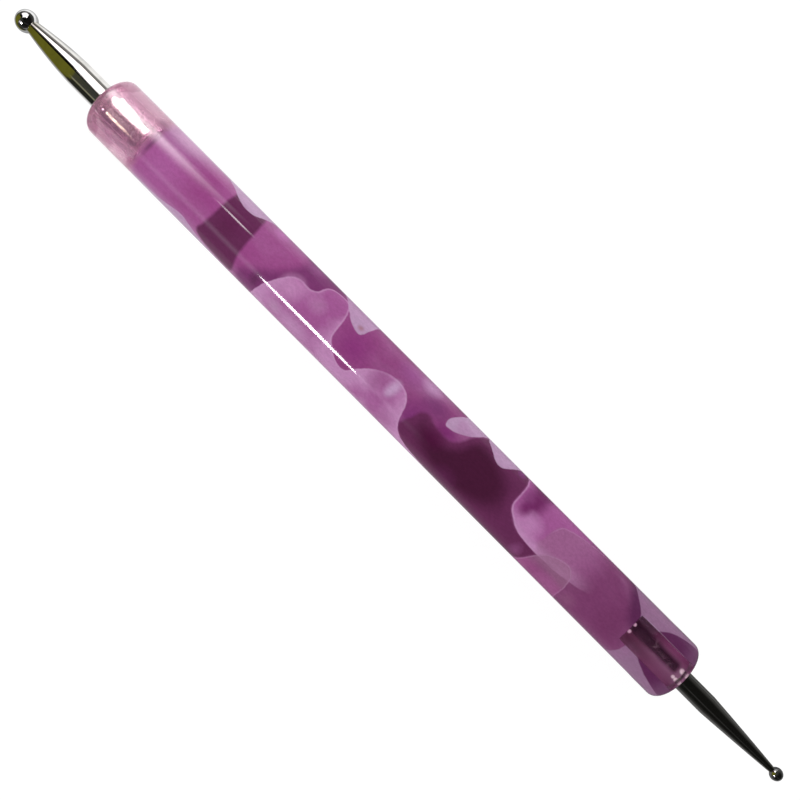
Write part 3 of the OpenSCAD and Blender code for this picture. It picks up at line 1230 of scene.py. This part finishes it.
    def _orchid_layers(self, paint: Paint, along: Signal, side: Signal, flow: Signal) -> None:
        """Lays the orchid, deeper away from its edge, with its light rim and the dark blooms on it.

        Args:
            paint: what is there, changed in place.
            along: millimetres along the barrel.
            side: millimetres to its far side.
            flow: slow noise that shades each colour.
        """
        low = side.ramp(-3.4, 2.6, 0.32, -0.36)
        shade = (paint.depth(Layer.ORCHID) * 0.24 + flow - 0.35 - low).ramp(0.05, 0.75)
        orchid = paint.bench.mix(shade, self.orchid_pale, self.orchid_deep)
        crisp = along.ramp(26.5, 29.5, 1.0, 0.0)
        paint.over(paint.edge(Layer.ORCHID, 0.1) * self._before_small_end(along), orchid)
        paint.over(paint.line(Layer.ORCHID, 0.02, 0.2, 0.09) * 0.55 * crisp, self.rim)
        paint.over(paint.edge(Layer.BLOOM, 0.9) * 0.95, self.bloom)

    def _veils(self, paint: Paint, along: Signal, side: Signal) -> None:
        """Lays the thin fold and the veil over the orchid, each with a faint light rim.

        Args:
            paint: what is there, changed in place.
            along: millimetres along the barrel.
            side: millimetres to its far side.
        """
        shown = self._before_small_end(along) * side.ramp(-2.8, -0.6, 0.2, 1.0)
        paint.over(paint.edge(Layer.FOLD, 0.3) * 0.5 * shown, self.veil)
        upper = side.ramp(0.8, 2.0) * along.ramp(32, 35, 1.0, 0.0)
        paint.over(paint.line(Layer.FOLD, 0.03, 0.16, 0.08) * 0.28 * upper, self.rim)
        veil = paint.bench.mix(side.ramp(-3.3, -1.8, 1.0, 0.0), self.veil, self.veil_low)
        paint.over(paint.edge(Layer.VEIL, 0.1) * 0.6, veil)
        paint.over(paint.line(Layer.VEIL, 0.03, 0.16, 0.08) * 0.25, self.rim)

    def _before_small_end(self, along: Signal) -> Signal:
        """Fades a layer out where the small end's colours begin."""
        return along.ramp(*self.small_end_starts, 1.0, 0.0)

    def _relief(self, bench: NodeBench) -> bpy.types.NodeSocket:
        """Slow waves left by polishing, with fine hairlines over them.

        Args:
            bench: the material's bench.

        Returns:
            The normal.
        """
        waves = bench.bump(bench.noise((0.10, 0.3, 0.3), 1.0), self.wave_depth)
        hairlines = bench.noise((0.7, 9.0, 9.0), 2.0, 0.3)
        return bench.bump(hairlines.ramp(0.62, 0.8), self.hairline_depth, waves)


@dataclass(frozen=True)
class PaintedGlint:
    """A glint painted as a bright spot on the wall of a bore: its centre and radius in millimetres."""

    middle: Place
    radius: float


@dataclass(frozen=True)
class BoreSkin:
    """The wall of a bore: clear resin against air, with patches that the adhesive wets. At the small end it
    is nearly opaque, with painted shade deep in the bore, a dark streak painted where the shank's dark
    reflection shows, and painted glints.
    """

    name: str = "bore_skin"
    clear: Colour = (0.97, 0.90, 0.93)
    wetted: Colour = (0.62, 0.36, 0.46)
    deep: Colour = (0.135, 0.050, 0.090)
    pale: Colour = (0.33, 0.155, 0.27)
    # Painted shade deep in the small bore, and the grey that mottles the dark streak painted where the shank
    # shows.
    painted_shade: Colour = (0.020, 0.008, 0.013)
    streak_mottle: Colour = (0.150, 0.112, 0.130)
    # Colour of the painted glints.
    glint: Colour = (1.0, 0.90, 0.94)
    haze_roughness: float = 0.6
    resin_roughness: float = 0.04
    ripple_depth: float = 0.006
    glint_stretch: float = 1.4
    mouth: Point = (47.55, 47.75)
    # Glints painted as bright spots near the small bore's floor and at its mouth.
    painted_glints: tuple[PaintedGlint, ...] = (
        PaintedGlint((39.9, 0.48, 1.25), 0.30), PaintedGlint((39.95, -0.29, 1.31), 0.31),
        PaintedGlint((47.15, -0.40, 1.28), 0.30), PaintedGlint((47.5, 0.50, 1.24), 0.42),
        PaintedGlint((47.6, -0.42, 1.27), 0.34))

    def build(self) -> bpy.types.Material:
        """Builds the material.

        Returns:
            The material.
        """
        material, bench = NodeBench.for_material(self.name)
        along, side, _ = bench.split(bench.place())
        small_end = along.ramp(-1, 1)
        patches = bench.noise((0.7, 1.3, 1.3), 3.0, 0.6)
        share = patches.ramp(0.44, 0.74, 0.0, 0.36) * (1.0 - small_end)
        share = share.most(small_end * side.ramp(0.2, 0.9, 0.82, 0.98))
        colour = bench.mix(small_end, self.wetted, bench.mix(along.ramp(40.5, 46), self.deep, self.pale))
        # Painted shade: near black on the far side, deep in the small bore.
        colour = bench.mix(side.ramp(0.1, 0.7) * along.ramp(41.0, 44.5, 0.75, 0.0), colour, self.painted_shade)
        # A dark streak painted along the small bore where the shank's dark reflection shows, mottled with
        # grey.
        streak_mottle = bench.mix(patches.ramp(0.42, 0.56) * along.band(42.3, 45.8, 0.6), self.painted_shade, self.streak_mottle)
        streak = side.band(-0.12, 0.86, 0.30) * along.ramp(46.6, 47.3, 1.0, 0.0) * small_end
        colour = bench.mix(streak * 0.95, colour, streak_mottle)
        inside_mouth = along.ramp(*self.mouth, 1.0, 0.0)
        # Painted glints: bright spots that also make the skin opaque there.
        for glint_spot in self.painted_glints:
            reach = (glint_spot.radius * self.glint_stretch, glint_spot.radius, glint_spot.radius)
            bright = bench.spot(glint_spot.middle, reach).ramp(0.1, 0.7) * inside_mouth
            share = share.most(bright)
            colour = bench.mix(bright, colour, self.glint)
        haze = bench.shader("BsdfPrincipled", {
            "Base Color": colour, "Roughness": self.haze_roughness, "Specular IOR Level": 0.0})
        ripples = bench.bump(bench.noise((0.8, 1.4, 1.4), 2.0), self.ripple_depth)
        resin = bench.clear_resin(self.clear, self.resin_roughness, ripples)
        bench.surface(bench.blend(share, resin, haze))
        return material


@dataclass(frozen=True)
class Glue:
    """Cured clear adhesive with dry patches."""

    name: str = "cured_adhesive"
    clear: Colour = (0.80, 0.62, 0.68)
    dry: Colour = (0.88, 0.80, 0.82)
    relief_depth: float = 0.02

    def build(self) -> bpy.types.Material:
        """Builds the material.

        Returns:
            The material.
        """
        material, bench = NodeBench.for_material(self.name)
        patches = bench.noise((0.9, 1.3, 1.3), 4.0, 1.0)
        facing = bench.number("ShaderNodeLayerWeight", "Facing", None, {"Blend": 0.5})
        bench.surface(bench.shader("BsdfPrincipled", {
            "Base Color": bench.mix(patches.ramp(0.4, 0.6), self.clear, self.dry),
            "Roughness": patches.ramp(0.3, 0.7, 0.08, 0.3),
            "Alpha": patches.ramp(0.5, 0.75, 0.0, 0.14) + facing.ramp(0.7, 0.98, 0.0, 0.15),
            "Normal": bench.bump(bench.noise((1.2, 1.2, 1.2), 2.0), self.relief_depth)}))
        return material


@dataclass(frozen=True)
class Bubble:
    """Air caught in the adhesive."""

    name: str = "air_bubble"
    colour: Colour = (0.90, 0.80, 0.84)
    roughness: float = 0.06

    def build(self) -> bpy.types.Material:
        """Builds the material.

        Returns:
            The material.
        """
        material, bench = NodeBench.for_material(self.name)
        rim = bench.number("ShaderNodeLayerWeight", "Facing", None, {"Blend": 0.4})
        bench.surface(bench.shader("BsdfPrincipled", {
            "Base Color": self.colour, "Roughness": self.roughness,
            "Alpha": rim.ramp(0.2, 0.95, 0.04, 0.4)}))
        return material


@dataclass(frozen=True)
class TurnedSteel:
    """Steel turned and polished, with rings from the tool and a trace of heat by the weld."""

    name: str
    end: End
    nose: float
    heat_reach: float = 1.6
    heat_share: float = 0.5
    ring_depth: float = 0.0009
    scratch_depth: float = 0.0002
    steel: Colour = (0.60, 0.59, 0.57)
    worn: Colour = (0.52, 0.51, 0.49)
    straw: Colour = (0.42, 0.38, 0.30)

    def build(self) -> bpy.types.Material:
        """Builds the material.

        Returns:
            The material.
        """
        material, bench = NodeBench.for_material(self.name)
        along = bench.split(bench.place())[0]
        rings = bench.noise((11.0, 0.12, 0.12), 3.0, 0.0, 0.7)
        broad = bench.noise((0.8, 0.5, 0.5), 3.0, 0.4)
        heated = (along * float(self.end.value)).ramp(self.nose - self.heat_reach, self.nose)
        colour = bench.mix(broad.ramp(0.35, 0.7), self.steel, self.worn)
        colour = bench.mix(heated * self.heat_share, colour, self.straw)
        scratches = bench.noise((1.2, 18.0, 18.0), 2.0, 0.2)
        normal = bench.bump(rings, self.ring_depth)
        normal = bench.bump(scratches.ramp(0.6, 0.75), self.scratch_depth, normal)
        bench.surface(bench.shader("BsdfPrincipled", {
            "Base Color": colour,
            "Metallic": 1.0,
            "Roughness": broad.ramp(0.3, 0.7, 0.055, 0.10) + rings.ramp(0.4, 0.8, 0.0, 0.03),
            "Normal": normal}))
        return material


@dataclass(frozen=True)
class BallSteel:
    """Mirror-polished bearing steel, lightly marked by use."""

    name: str = "bearing_steel"
    steel: Colour = (0.62, 0.62, 0.62)
    worn: Colour = (0.50, 0.50, 0.50)
    pit_depth: float = 0.0006

    def build(self) -> bpy.types.Material:
        """Builds the material.

        Returns:
            The material.
        """
        material, bench = NodeBench.for_material(self.name)
        marks = bench.noise((2.2, 2.2, 2.2), 4.0, 0.8)
        pits = bench.noise((9.0, 9.0, 9.0), 2.0)
        bench.surface(bench.shader("BsdfPrincipled", {
            "Base Color": bench.mix(marks.ramp(0.45, 0.75), self.steel, self.worn),
            "Metallic": 1.0,
            "Roughness": marks.ramp(0.35, 0.75, 0.05, 0.12),
            "Normal": bench.bump(pits, self.pit_depth)}))
        return material


# Pieces


@dataclass
class Barrel:
    """The acrylic rod with its two bores."""

    fits: Fits
    tips: tuple[TipSizes, TipSizes]
    ring_step: float = 0.22
    segments: int = 144
    edge_steps: int = 10
    face_rings: int = 3
    skin_margin: float = 0.02

    def profile(self) -> list[Point]:
        """Profile from the large bore's floor round the outside to the small bore's floor.

        Returns:
            Points (x, radius).
        """
        fits = self.fits
        radius = fits.barrel_d / 2
        edge_r = fits.barrel_edge_r
        edge_x = fits.face - edge_r
        rings = round(2 * edge_x / self.ring_step)
        outside = [(-edge_x + 2 * edge_x * step / rings, radius) for step in range(1, rings)]
        left, right = self.tips
        left_edge = arc((-edge_x, radius - edge_r), edge_r, 180, 90, self.edge_steps)
        right_edge = arc((edge_x, radius - edge_r), edge_r, 90, 0, self.edge_steps)
        return [
            *left.outwards(left.bore()), *self._face(left), *left_edge, *outside,
            *right_edge, *reversed(self._face(right)), *reversed(right.outwards(right.bore())),
        ]

    def _face(self, tip: TipSizes) -> list[Point]:
        """Rings across an end face.

        Args:
            tip: the tip that is glued in there.

        Returns:
            Points (x, radius) from the bore's mouth outwards.
        """
        mouth = tip.bore_r + self.fits.mouth_chamfer
        rim = self.fits.barrel_d / 2 - self.fits.barrel_edge_r
        count = self.face_rings + 1
        return tip.outwards((0.0, mouth + (rim - mouth) * step / count) for step in range(1, count))

    def build(self, lathe: Lathe, acrylic: bpy.types.Material, skin: bpy.types.Material) -> bpy.types.Object:
        """Turns the rod and marks the marbling on it.

        Args:
            lathe: turns the rod.
            acrylic: material of the outside.
            skin: material of the bores.

        Returns:
            The rod.
        """
        rod = lathe.turn("acrylic_rod", self.profile(), acrylic, self.segments)
        rod.data.materials.append(skin)
        self._skin_bores(rod.data)
        Marbling(self.fits.barrel_d / 2, SWIRLS).mark(rod.data)
        return rod

    def _skin_bores(self, mesh: bpy.types.Mesh) -> None:
        """Gives the faces inside the bores the second material.

        Args:
            mesh: the rod's mesh, changed in place.
        """
        count = len(mesh.polygons)
        centres = np.empty(count * 3)
        mesh.polygons.foreach_get("center", centres)
        centres = centres.reshape(-1, 3) / MM
        radius = np.hypot(centres[:, 1], centres[:, 2])
        mouth = self.fits.face - self.fits.mouth_chamfer
        inside = np.zeros(count, dtype=bool)
        for tip in self.tips:
            here = centres[:, 0] * tip.end.value
            inside |= (here > 0) & (here < mouth) & (radius < tip.bore_r + self.skin_margin)
        mesh.polygons.foreach_set("material_index", inside.astype(np.int32))


@dataclass
class BubbleField:
    """Flattened bubbles scattered in the film of adhesive round a shank."""

    tip: TipSizes
    per_mm2: float
    largest: float
    seed: int
    sides: int = 48
    floor_margin: float = 0.3
    mouth_margin: float = 0.4
    film_share: float = 0.42

    def build(self, scatter: BubbleScatter, finish: bpy.types.Material) -> bpy.types.Object:
        """Scatters the bubbles.

        Args:
            scatter: the tree that scatters them.
            finish: the bubbles' material.

        Returns:
            The bubbles as one mesh.
        """
        fits = self.tip.fits
        half_bubble = (fits.glue_film - 2 * fits.bond_gap) * self.film_share
        values = {"Density": self.per_mm2 / MM ** 2, "Largest": self.largest * MM / 2,
                  "Thickness": half_bubble * MM, "Seed": self.seed}
        return scatter.run(self.tip.name + "_bubbles", self._film(), values, finish)

    def _film(self) -> bpy.types.Mesh:
        """Makes the surface that carries the bubbles.

        Returns:
            An open tube in the middle of the film.
        """
        tip, fits, sides = self.tip, self.tip.fits, self.sides
        radius = tip.shank_d / 2 + fits.glue_film / 2
        first = fits.glue_pool + fits.shank_chamfer - tip.bore_depth + self.floor_margin
        last = -fits.mouth_chamfer - self.mouth_margin
        places = []
        for out in (first, last):
            x = tip.end.value * (fits.face + out)
            for side in range(sides):
                turn = math.tau * side / sides
                places.append((x * MM, radius * math.sin(turn) * MM, radius * math.cos(turn) * MM))
        faces = [(a, (a + 1) % sides, sides + (a + 1) % sides, sides + a) for a in range(sides)]
        mesh = bpy.data.meshes.new(tip.name + "_film")
        mesh.from_pydata(places, [], faces)
        return mesh


@dataclass
class BallTip:
    """One tip: turned shank, welded ball, adhesive and its bubbles."""

    sizes: TipSizes
    bubbles: BubbleField
    ball: bpy.types.Material
    glue: bpy.types.Material
    air: bpy.types.Material

    def build(self, lathe: Lathe, scatter: BubbleScatter) -> None:
        """Makes the tip's pieces and hands them to the frame.

        Args:
            lathe: turns the pieces.
            scatter: scatters the bubbles.
        """
        sizes = self.sizes
        name = sizes.name
        nose = sizes.fits.face + sizes.straight_len + sizes.taper_len
        steel = TurnedSteel(name + "_turned_steel", sizes.end, nose).build()
        shank = lathe.turn(name + "_turned_shank", sizes.shank(), steel)
        hand_over(shank, name + "_shank")
        sphere = lathe.turn(name + "_welded_ball", sizes.ball(), self.ball)
        hand_over(sphere, name + "_ball")
        film = lathe.turn(name + "_cured_adhesive", sizes.adhesive(), self.glue)
        hand_over(film, name + "_adhesive")
        hand_over(self.bubbles.build(scatter, self.air))


def hand_over(piece: bpy.types.Object, node: Optional[str] = None) -> None:
    """Fixes a piece to the tool and hides the CAD node that it replaces.

    Args:
        piece: the piece.
        node: the CAD node that it replaces, if any.
    """
    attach(piece, ROOT)
    if node:
        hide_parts(node)
    LOG.info("%s: %d faces", piece.name, len(piece.data.polygons))


LARGE_BUBBLES = BubbleField(LARGE_TIP, per_mm2=0.5, largest=0.5, seed=3)
SMALL_BUBBLES = BubbleField(SMALL_TIP, per_mm2=3.0, largest=0.7, seed=11)


# Studio


def level_panel(name: str, low: Point, high: Point, z: float,
                faces_down: bool = False) -> tuple[bpy.types.Object, NodeBench]:
    """Adds a level rectangle with a material that is still empty.

    Args:
        name: name of the panel and of its material.
        low: its lowest corner (x, y).
        high: its highest corner (x, y).
        z: its height.
        faces_down: whether its front looks down.

    Returns:
        The panel and the bench for its material.
    """
    corners = (low, (high[0], low[1]), high, (low[0], high[1]))
    order = (0, 3, 2, 1) if faces_down else (0, 1, 2, 3)
    mesh = bpy.data.meshes.new(name)
    mesh.from_pydata([(x * MM, y * MM, z * MM) for x, y in corners], [], [order])
    material, bench = NodeBench.for_material(name)
    mesh.materials.append(material)
    panel = bpy.data.objects.new(name, mesh)
    bpy.context.collection.objects.link(panel)
    return panel, bench


@dataclass(frozen=True)
class PhotoCamera:
    """The camera, placed as the photograph was taken."""

    at: Place = (5.9157, -0.3169, 106.4944)
    right: Place = (0.70499, 0.70880, -0.02405)
    up: Place = (-0.70839, 0.70541, 0.02417)
    lens: float = 40.168
    sensor: float = 36.0
    nearest: float = 0.002
    furthest: float = 50.0

    def build(self) -> None:
        """Adds the camera and makes it the scene's own."""
        data = bpy.data.cameras.new("camera")
        data.sensor_fit = "HORIZONTAL"
        data.sensor_width = self.sensor
        data.lens = self.lens
        data.clip_start = self.nearest
        data.clip_end = self.furthest
        camera = bpy.data.objects.new("camera", data)
        right = Vector(self.right).normalized()
        back = right.cross(Vector(self.up).normalized()).normalized()
        turn = Matrix((right, back.cross(right), back)).transposed().to_4x4()
        camera.matrix_world = Matrix.Translation(Vector(self.at) * MM) @ turn
        bpy.context.collection.objects.link(camera)
        bpy.context.scene.camera = camera


@dataclass(frozen=True)
class PaleFloor:
    """A wide pale floor that keeps the object's shadow; the steel mirrors it as the photograph's does."""

    z: float = -4.0
    gap: float = 0.01
    half_width: float = 4000.0
    paper: Colour = (0.90, 0.90, 0.89)
    fibres: Colour = (0.88, 0.88, 0.88)
    paper_seen: Colour = (0.14, 0.14, 0.14)
    lift: float = 0.92
    lift_fades: Point = (70.0, 400.0)
    roughness: float = 0.8
    moss: Colour = MOSS
    card: Colour = (0.03, 0.03, 0.026)

    def build(self) -> None:
        """Lays the floor just under the object."""
        corner = (self.half_width, self.half_width)
        floor, bench = level_panel("floor", (-corner[0], -corner[1]), corner, self.z - self.gap)
        place = bench.place()
        x, y, _ = bench.split(place)
        straight = bench.seen_directly()
        mirrored = bench.mirrored()
        paper = bench.mix(bench.noise((0.05, 0.05, 0.05), 3.0), self.paper, self.fibres)
        paper = bench.mix(straight, paper, self.paper_seen)
        paper = bench.mix(mirrored, paper, BLACK)
        distance = bench.number("ShaderNodeVectorMath", "Value", {"operation": "LENGTH"}, {0: place})
        white = bench.grey(straight * distance.ramp(*self.lift_fades, self.lift, 1.0))
        under_large_ball = x.ramp(-52, -48, 1.0, 0.0) * y.ramp(-9.5, -7.0, 1.0, 0.0)
        card = bench.mix((x - y * 0.62).ramp(-56, -52), self.moss, self.card)
        shade = bench.mix(under_large_ball, bench.grey(self._in_steel(x, y)), card)
        bench.surface(bench.shader("BsdfPrincipled", {
            "Base Color": paper, "Roughness": self.roughness, "Specular IOR Level": 0.0,
            "Emission Color": bench.mix(mirrored, white, shade), "Emission Strength": 1.0}))

    def _in_steel(self, x: Signal, y: Signal) -> Signal:
        """Brightness of the floor as the steel mirrors it.

        Args:
            x: millimetres along the object.
            y: millimetres to its far side.

        Returns:
            The brightness, where 1 is white.
        """
        far_side = x.ramp(-52, -44, 1.5, 1.1) * x.ramp(-40, -18, 1.0, 0.27) * y.ramp(4, 25, 0.85, 1.0)
        behind_tip = y.ramp(25, 60) * x.ramp(-75, -60)
        far_side = far_side * (1.0 - behind_tip * 0.75)
        near_side = x.ramp(-52, -44, 0.9, 0.68) * x.ramp(-40, -18, 1.0, 0.55)
        turn = y.ramp(-2, 2)
        seen = (far_side * turn + near_side * (1.0 - turn)) * x.ramp(12, 26, 1.0, 0.5)
        seen = seen * y.ramp(-16, -7, 0.66, 1.0) * y.ramp(-50, -14, 0.55, 1.0) * y.ramp(-120, -50, 0.25, 1.0)
        under_tip = x.ramp(-60, -56, 1.0, 0.0) * y.band(-8, 8, 4)
        seen = seen * (1.0 - under_tip * 0.5)
        beside_barrel = (y * y).ramp(24, 42, 0.9, 0.0) * x.ramp(-46, -44) * x.ramp(45, 47, 1.0, 0.0)
        return seen.most(beside_barrel)


@dataclass(frozen=True)
class Softbox:
    """A soft panel of light over the large end, seen only in reflections."""

    z: float = 79.0
    low: Point = (-195.0, -14.0)
    high: Point = (-44.0, 150.0)
    plain: Colour = (1.0, 0.95, 0.96)
    through_resin: Colour = (0.95, 1.3, 1.0)
    resin_boost: float = 2.0
    buried_boost: float = 26.0
    core_power: float = 11.0
    slit_power: float = 12.5
    second_power: float = 1.2
    hidden_from: tuple[str, ...] = ("camera", "diffuse", "volume_scatter", "shadow")

    def build(self) -> None:
        """Hangs the panel with its face down."""
        panel, bench = level_panel("softbox", self.low, self.high, self.z, faces_down=True)
        for kind in self.hidden_from:
            setattr(panel, "visible_" + kind, False)
        x, y, _ = bench.split(bench.place())
        through = bench.ray("Is Transmission Ray")
        on_buried_steel = through * bench.mirrored() * y.ramp(45, 80) * x.ramp(-128, -120)
        power = self._power(x, y) * (through * self.resin_boost + 1.0) + on_buried_steel * self.buried_boost
        colour = bench.mix(through, self.plain, self.through_resin)
        bench.surface(bench.shader("Emission", {"Color": colour, "Strength": power}))

    def _power(self, x: Signal, y: Signal) -> Signal:
        """Brightness of the panel's face: a wide glow, a hot core, a slit and a weaker second lamp.

        Args:
            x: millimetres along the object.
            y: millimetres to its far side.

        Returns:
            The brightness, where 1 is white.
        """
        bottom = x.ramp(-100, -90, 18.0, -2.0) + x.ramp(-170, -104, 22.0, 0.0)
        wide = (y - bottom).ramp(-4, 4) * y.ramp(128, 140, 1.0, 0.0) * x.ramp(-92, -76, 1.0, 0.0)
        wide = wide * x.ramp(-190, -125, 1.2, 2.4) * x.ramp(-176, -164)
        core = y.ramp(6, 54) * y.ramp(58, 116, 1.0, 0.0) * x.ramp(-92, -54, 1.0, 0.0)
        core = core * x.ramp(-112, -98, 0.1, 1.0) * self.core_power
        slit = y.band(38.5, 47, 3) * x.ramp(-51, -46.5, 1.0, 0.0) * x.ramp(-59.5, -53.5) * self.slit_power
        second = y.band(74, 84, 3) * x.band(-81, -75, 3) * self.second_power
        return wide + core + slit + second


@dataclass(frozen=True)
class Surroundings:
    """White behind the object, a dim room above it in reflections, and an even fill for shading.

    Places in the room are given by the direction's x and by its angle across the object in radians,
    from straight up towards the far side.
    """

    room_left: Colour = (0.055, 0.056, 0.050)
    room_right: Colour = (0.009, 0.009, 0.008)
    low_light: Colour = (1.0, 1.0, 0.95)
    sky: Colour = (1.0, 0.96, 0.95)
    moss: Colour = MOSS
    thin_line: Colour = (0.42, 0.41, 0.27)
    haze: Colour = (13.0, 18.0, 13.0)
    far_side_in_resin: Colour = (30.0, 46.0, 34.0)
    seam_in_resin: Colour = (14.0, 19.0, 11.0)
    halo: Colour = (1.15, 1.05, 1.2)
    fill: Colour = (0.31, 0.31, 0.31)
    side_fill: Colour = (0.62, 0.62, 0.62)

    def build(self) -> None:
        """Makes the world and gives it to the scene."""
        world = bpy.data.worlds.new("studio")
        world.use_nodes = True
        bpy.context.scene.world = world
        bench = NodeBench(world.node_tree)
        x, y, z = bench.split(bench.node("ShaderNodeTexCoord").outputs["Generated"])
        across = bench.number("ShaderNodeMath", "Value", {"operation": "ARCTAN2"}, {0: y, 1: z})
        room = self._in_resin(bench, self._room(bench, x, across), x, across)
        even = bench.mix(y.ramp(-0.95, -0.5, 1.0, 0.0), self.fill, self.side_fill)
        light = bench.mix(bench.mirrored(), even, room)
        light = bench.mix(bench.seen_directly(), light, WHITE)
        glow = bench.shader("Background", {"Color": light, "Strength": 1.0})
        bench.node("ShaderNodeOutputWorld", None, {"Surface": glow})

    def _room(self, bench: NodeBench, x: Signal, across: Signal) -> bpy.types.NodeSocket:
        """The room as bare steel mirrors it.

        Args:
            bench: the world's bench.
            x: the direction's x.
            across: the direction's angle across the object.

        Returns:
            The room's colour.
        """
        room = bench.mix(x.ramp(-0.45, 0.3), self.room_left, self.room_right)
        low = across.ramp(0.8, 1.6, 0.0, 0.07) + across.ramp(-1.6, -1.1, 0.04, 0.0)
        room = bench.mix(low, room, self.low_light)
        left = x.ramp(-0.43, -0.40, 1.0, 0.0)
        sky = (across.ramp(1.08, 1.2, 0.0, 0.24) + across.ramp(1.42, 1.58, 0.0, 0.9)) * left
        room = bench.mix(sky, room, self.sky)
        slim = across.band(-0.62, -0.42, 0.06) * x.ramp(0.3, 0.36) * 0.03
        room = bench.mix(slim, room, WHITE)
        dark = across.ramp(-1.36, -1.26, 1.0, 0.0) * across.ramp(-1.9, -1.6) * left
        room = bench.mix(dark * 0.8, room, BLACK)
        near_side = across.ramp(0.02, 0.14, 1.0, 0.0) * across.ramp(-1.8, -1.6)
        near_side = near_side * x.ramp(-0.507, -0.493, 1.0, 0.0) * x.ramp(-0.98, -0.94)
        room = bench.mix(near_side, room, self.moss)
        line = across.band(-1.21, -1.05, 0.05) * x.ramp(-0.505, -0.495) * x.ramp(-0.44, -0.40, 1.0, 0.0)
        return bench.mix(line, room, self.thin_line)

    def _in_resin(self, bench: NodeBench, room: bpy.types.NodeSocket, x: Signal,
                  across: Signal) -> bpy.types.NodeSocket:
        """Adds what shows in the clear large end: haze in the resin, and lights in the buried steel.

        Only a small share of the light that leaves the buried steel reaches the camera, so these are strong.

        Args:
            bench: the world's bench.
            room: the room as bare steel mirrors it.
            x: the direction's x.
            across: the direction's angle across the object.

        Returns:
            The room's colour.
        """
        through = bench.ray("Is Transmission Ray")
        large_end = x.ramp(-0.40, -0.37, 1.0, 0.0) * x.ramp(-0.50, -0.47) * through
        haze = across.ramp(0.85, 1.05) + across.ramp(-1.3, -1.0) * across.ramp(-0.2, 0.2, 1.0, 0.0) * 0.12
        buried = large_end * bench.mirrored()
        room = bench.mix(haze * large_end, room, self.haze)
        room = bench.mix(across.ramp(0.9, 1.0) * buried, room, self.far_side_in_resin)
        seam = across.band(-1.06, -0.78, 0.06) * x.ramp(-0.434, -0.426)
        room = bench.mix(seam * buried, room, self.seam_in_resin)
        halo = across.band(-1.02, -0.76, 0.14) * x.ramp(-0.44, -0.38) * x.ramp(-0.10, 0.04, 1.0, 0.0)
        return bench.mix(halo * (1.0 - through), room, self.halo)


class LampShape(Enum):
    """Outline of a lamp's face, by Blender's name."""

    ELLIPSE = "ELLIPSE"
    RECTANGLE = "RECTANGLE"


@dataclass(frozen=True)
class SoftLamp:
    """A soft lamp: where it hangs, what it faces, its width and height, and its brightness, 1 for white."""

    name: str
    at: Place
    aim: Place
    size: Point
    radiance: float
    shape: LampShape = LampShape.RECTANGLE
    shows_in_gloss: bool = False

    def build(self) -> None:
        """Hangs the lamp."""
        data = bpy.data.lights.new(self.name, "AREA")
        data.shape = self.shape.value
        data.size = self.size[0] * MM
        data.size_y = self.size[1] * MM
        share_of_box = math.pi / 4 if self.shape is LampShape.ELLIPSE else 1.0
        data.energy = self.radiance * data.size * data.size_y * share_of_box * math.pi
        lamp = bpy.data.objects.new(self.name, data)
        place = Vector(self.at) * MM
        back = (place - Vector(self.aim) * MM).normalized()
        along = Vector((1, 0, 0))
        side = (along - back * along.dot(back)).normalized()
        turn = Matrix((side, back.cross(side), back)).transposed().to_4x4()
        lamp.matrix_world = Matrix.Translation(place) @ turn
        lamp.visible_camera = False
        lamp.visible_glossy = self.shows_in_gloss
        lamp.visible_transmission = self.shows_in_gloss
        bpy.context.collection.objects.link(lamp)


LAMPS: tuple[SoftLamp, ...] = (
    SoftLamp("strip", (-61, -236, 186), (-61, 0, 0), (62, 57), 31.0, LampShape.ELLIPSE, True),
    SoftLamp("window", (-45, 190, 133), (-5, 0, 0), (220, 220), 3.1),
    SoftLamp("bounce", (45, -205, 120), (15, 0, 0), (200, 160), 1.6),
)


def main() -> None:
    """Builds the studio and the stylus."""
    logging.basicConfig(level=logging.INFO, format="%(name)s: %(message)s")
    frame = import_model()
    LOG.info("CAD nodes: %s", ", ".join(sorted(frame["nodes"])))
    bpy.context.scene.view_settings.view_transform = "Standard"
    for prop in (PhotoCamera(), PaleFloor(), Surroundings(), Softbox(), *LAMPS):
        prop.build()
    lathe = Lathe()
    scatter = BubbleScatter()
    barrel = Barrel(Fits(), (LARGE_TIP, SMALL_TIP))
    rod = barrel.build(lathe, MarbledAcrylic().build(), BoreSkin().build())
    hand_over(rod, "barrel")
    ball, glue, air = BallSteel().build(), Glue().build(), Bubble().build()
    for bubbles in (LARGE_BUBBLES, SMALL_BUBBLES):
        BallTip(bubbles.tip, bubbles, ball, glue, air).build(lathe, scatter)


if __name__ == "__main__":
    main()
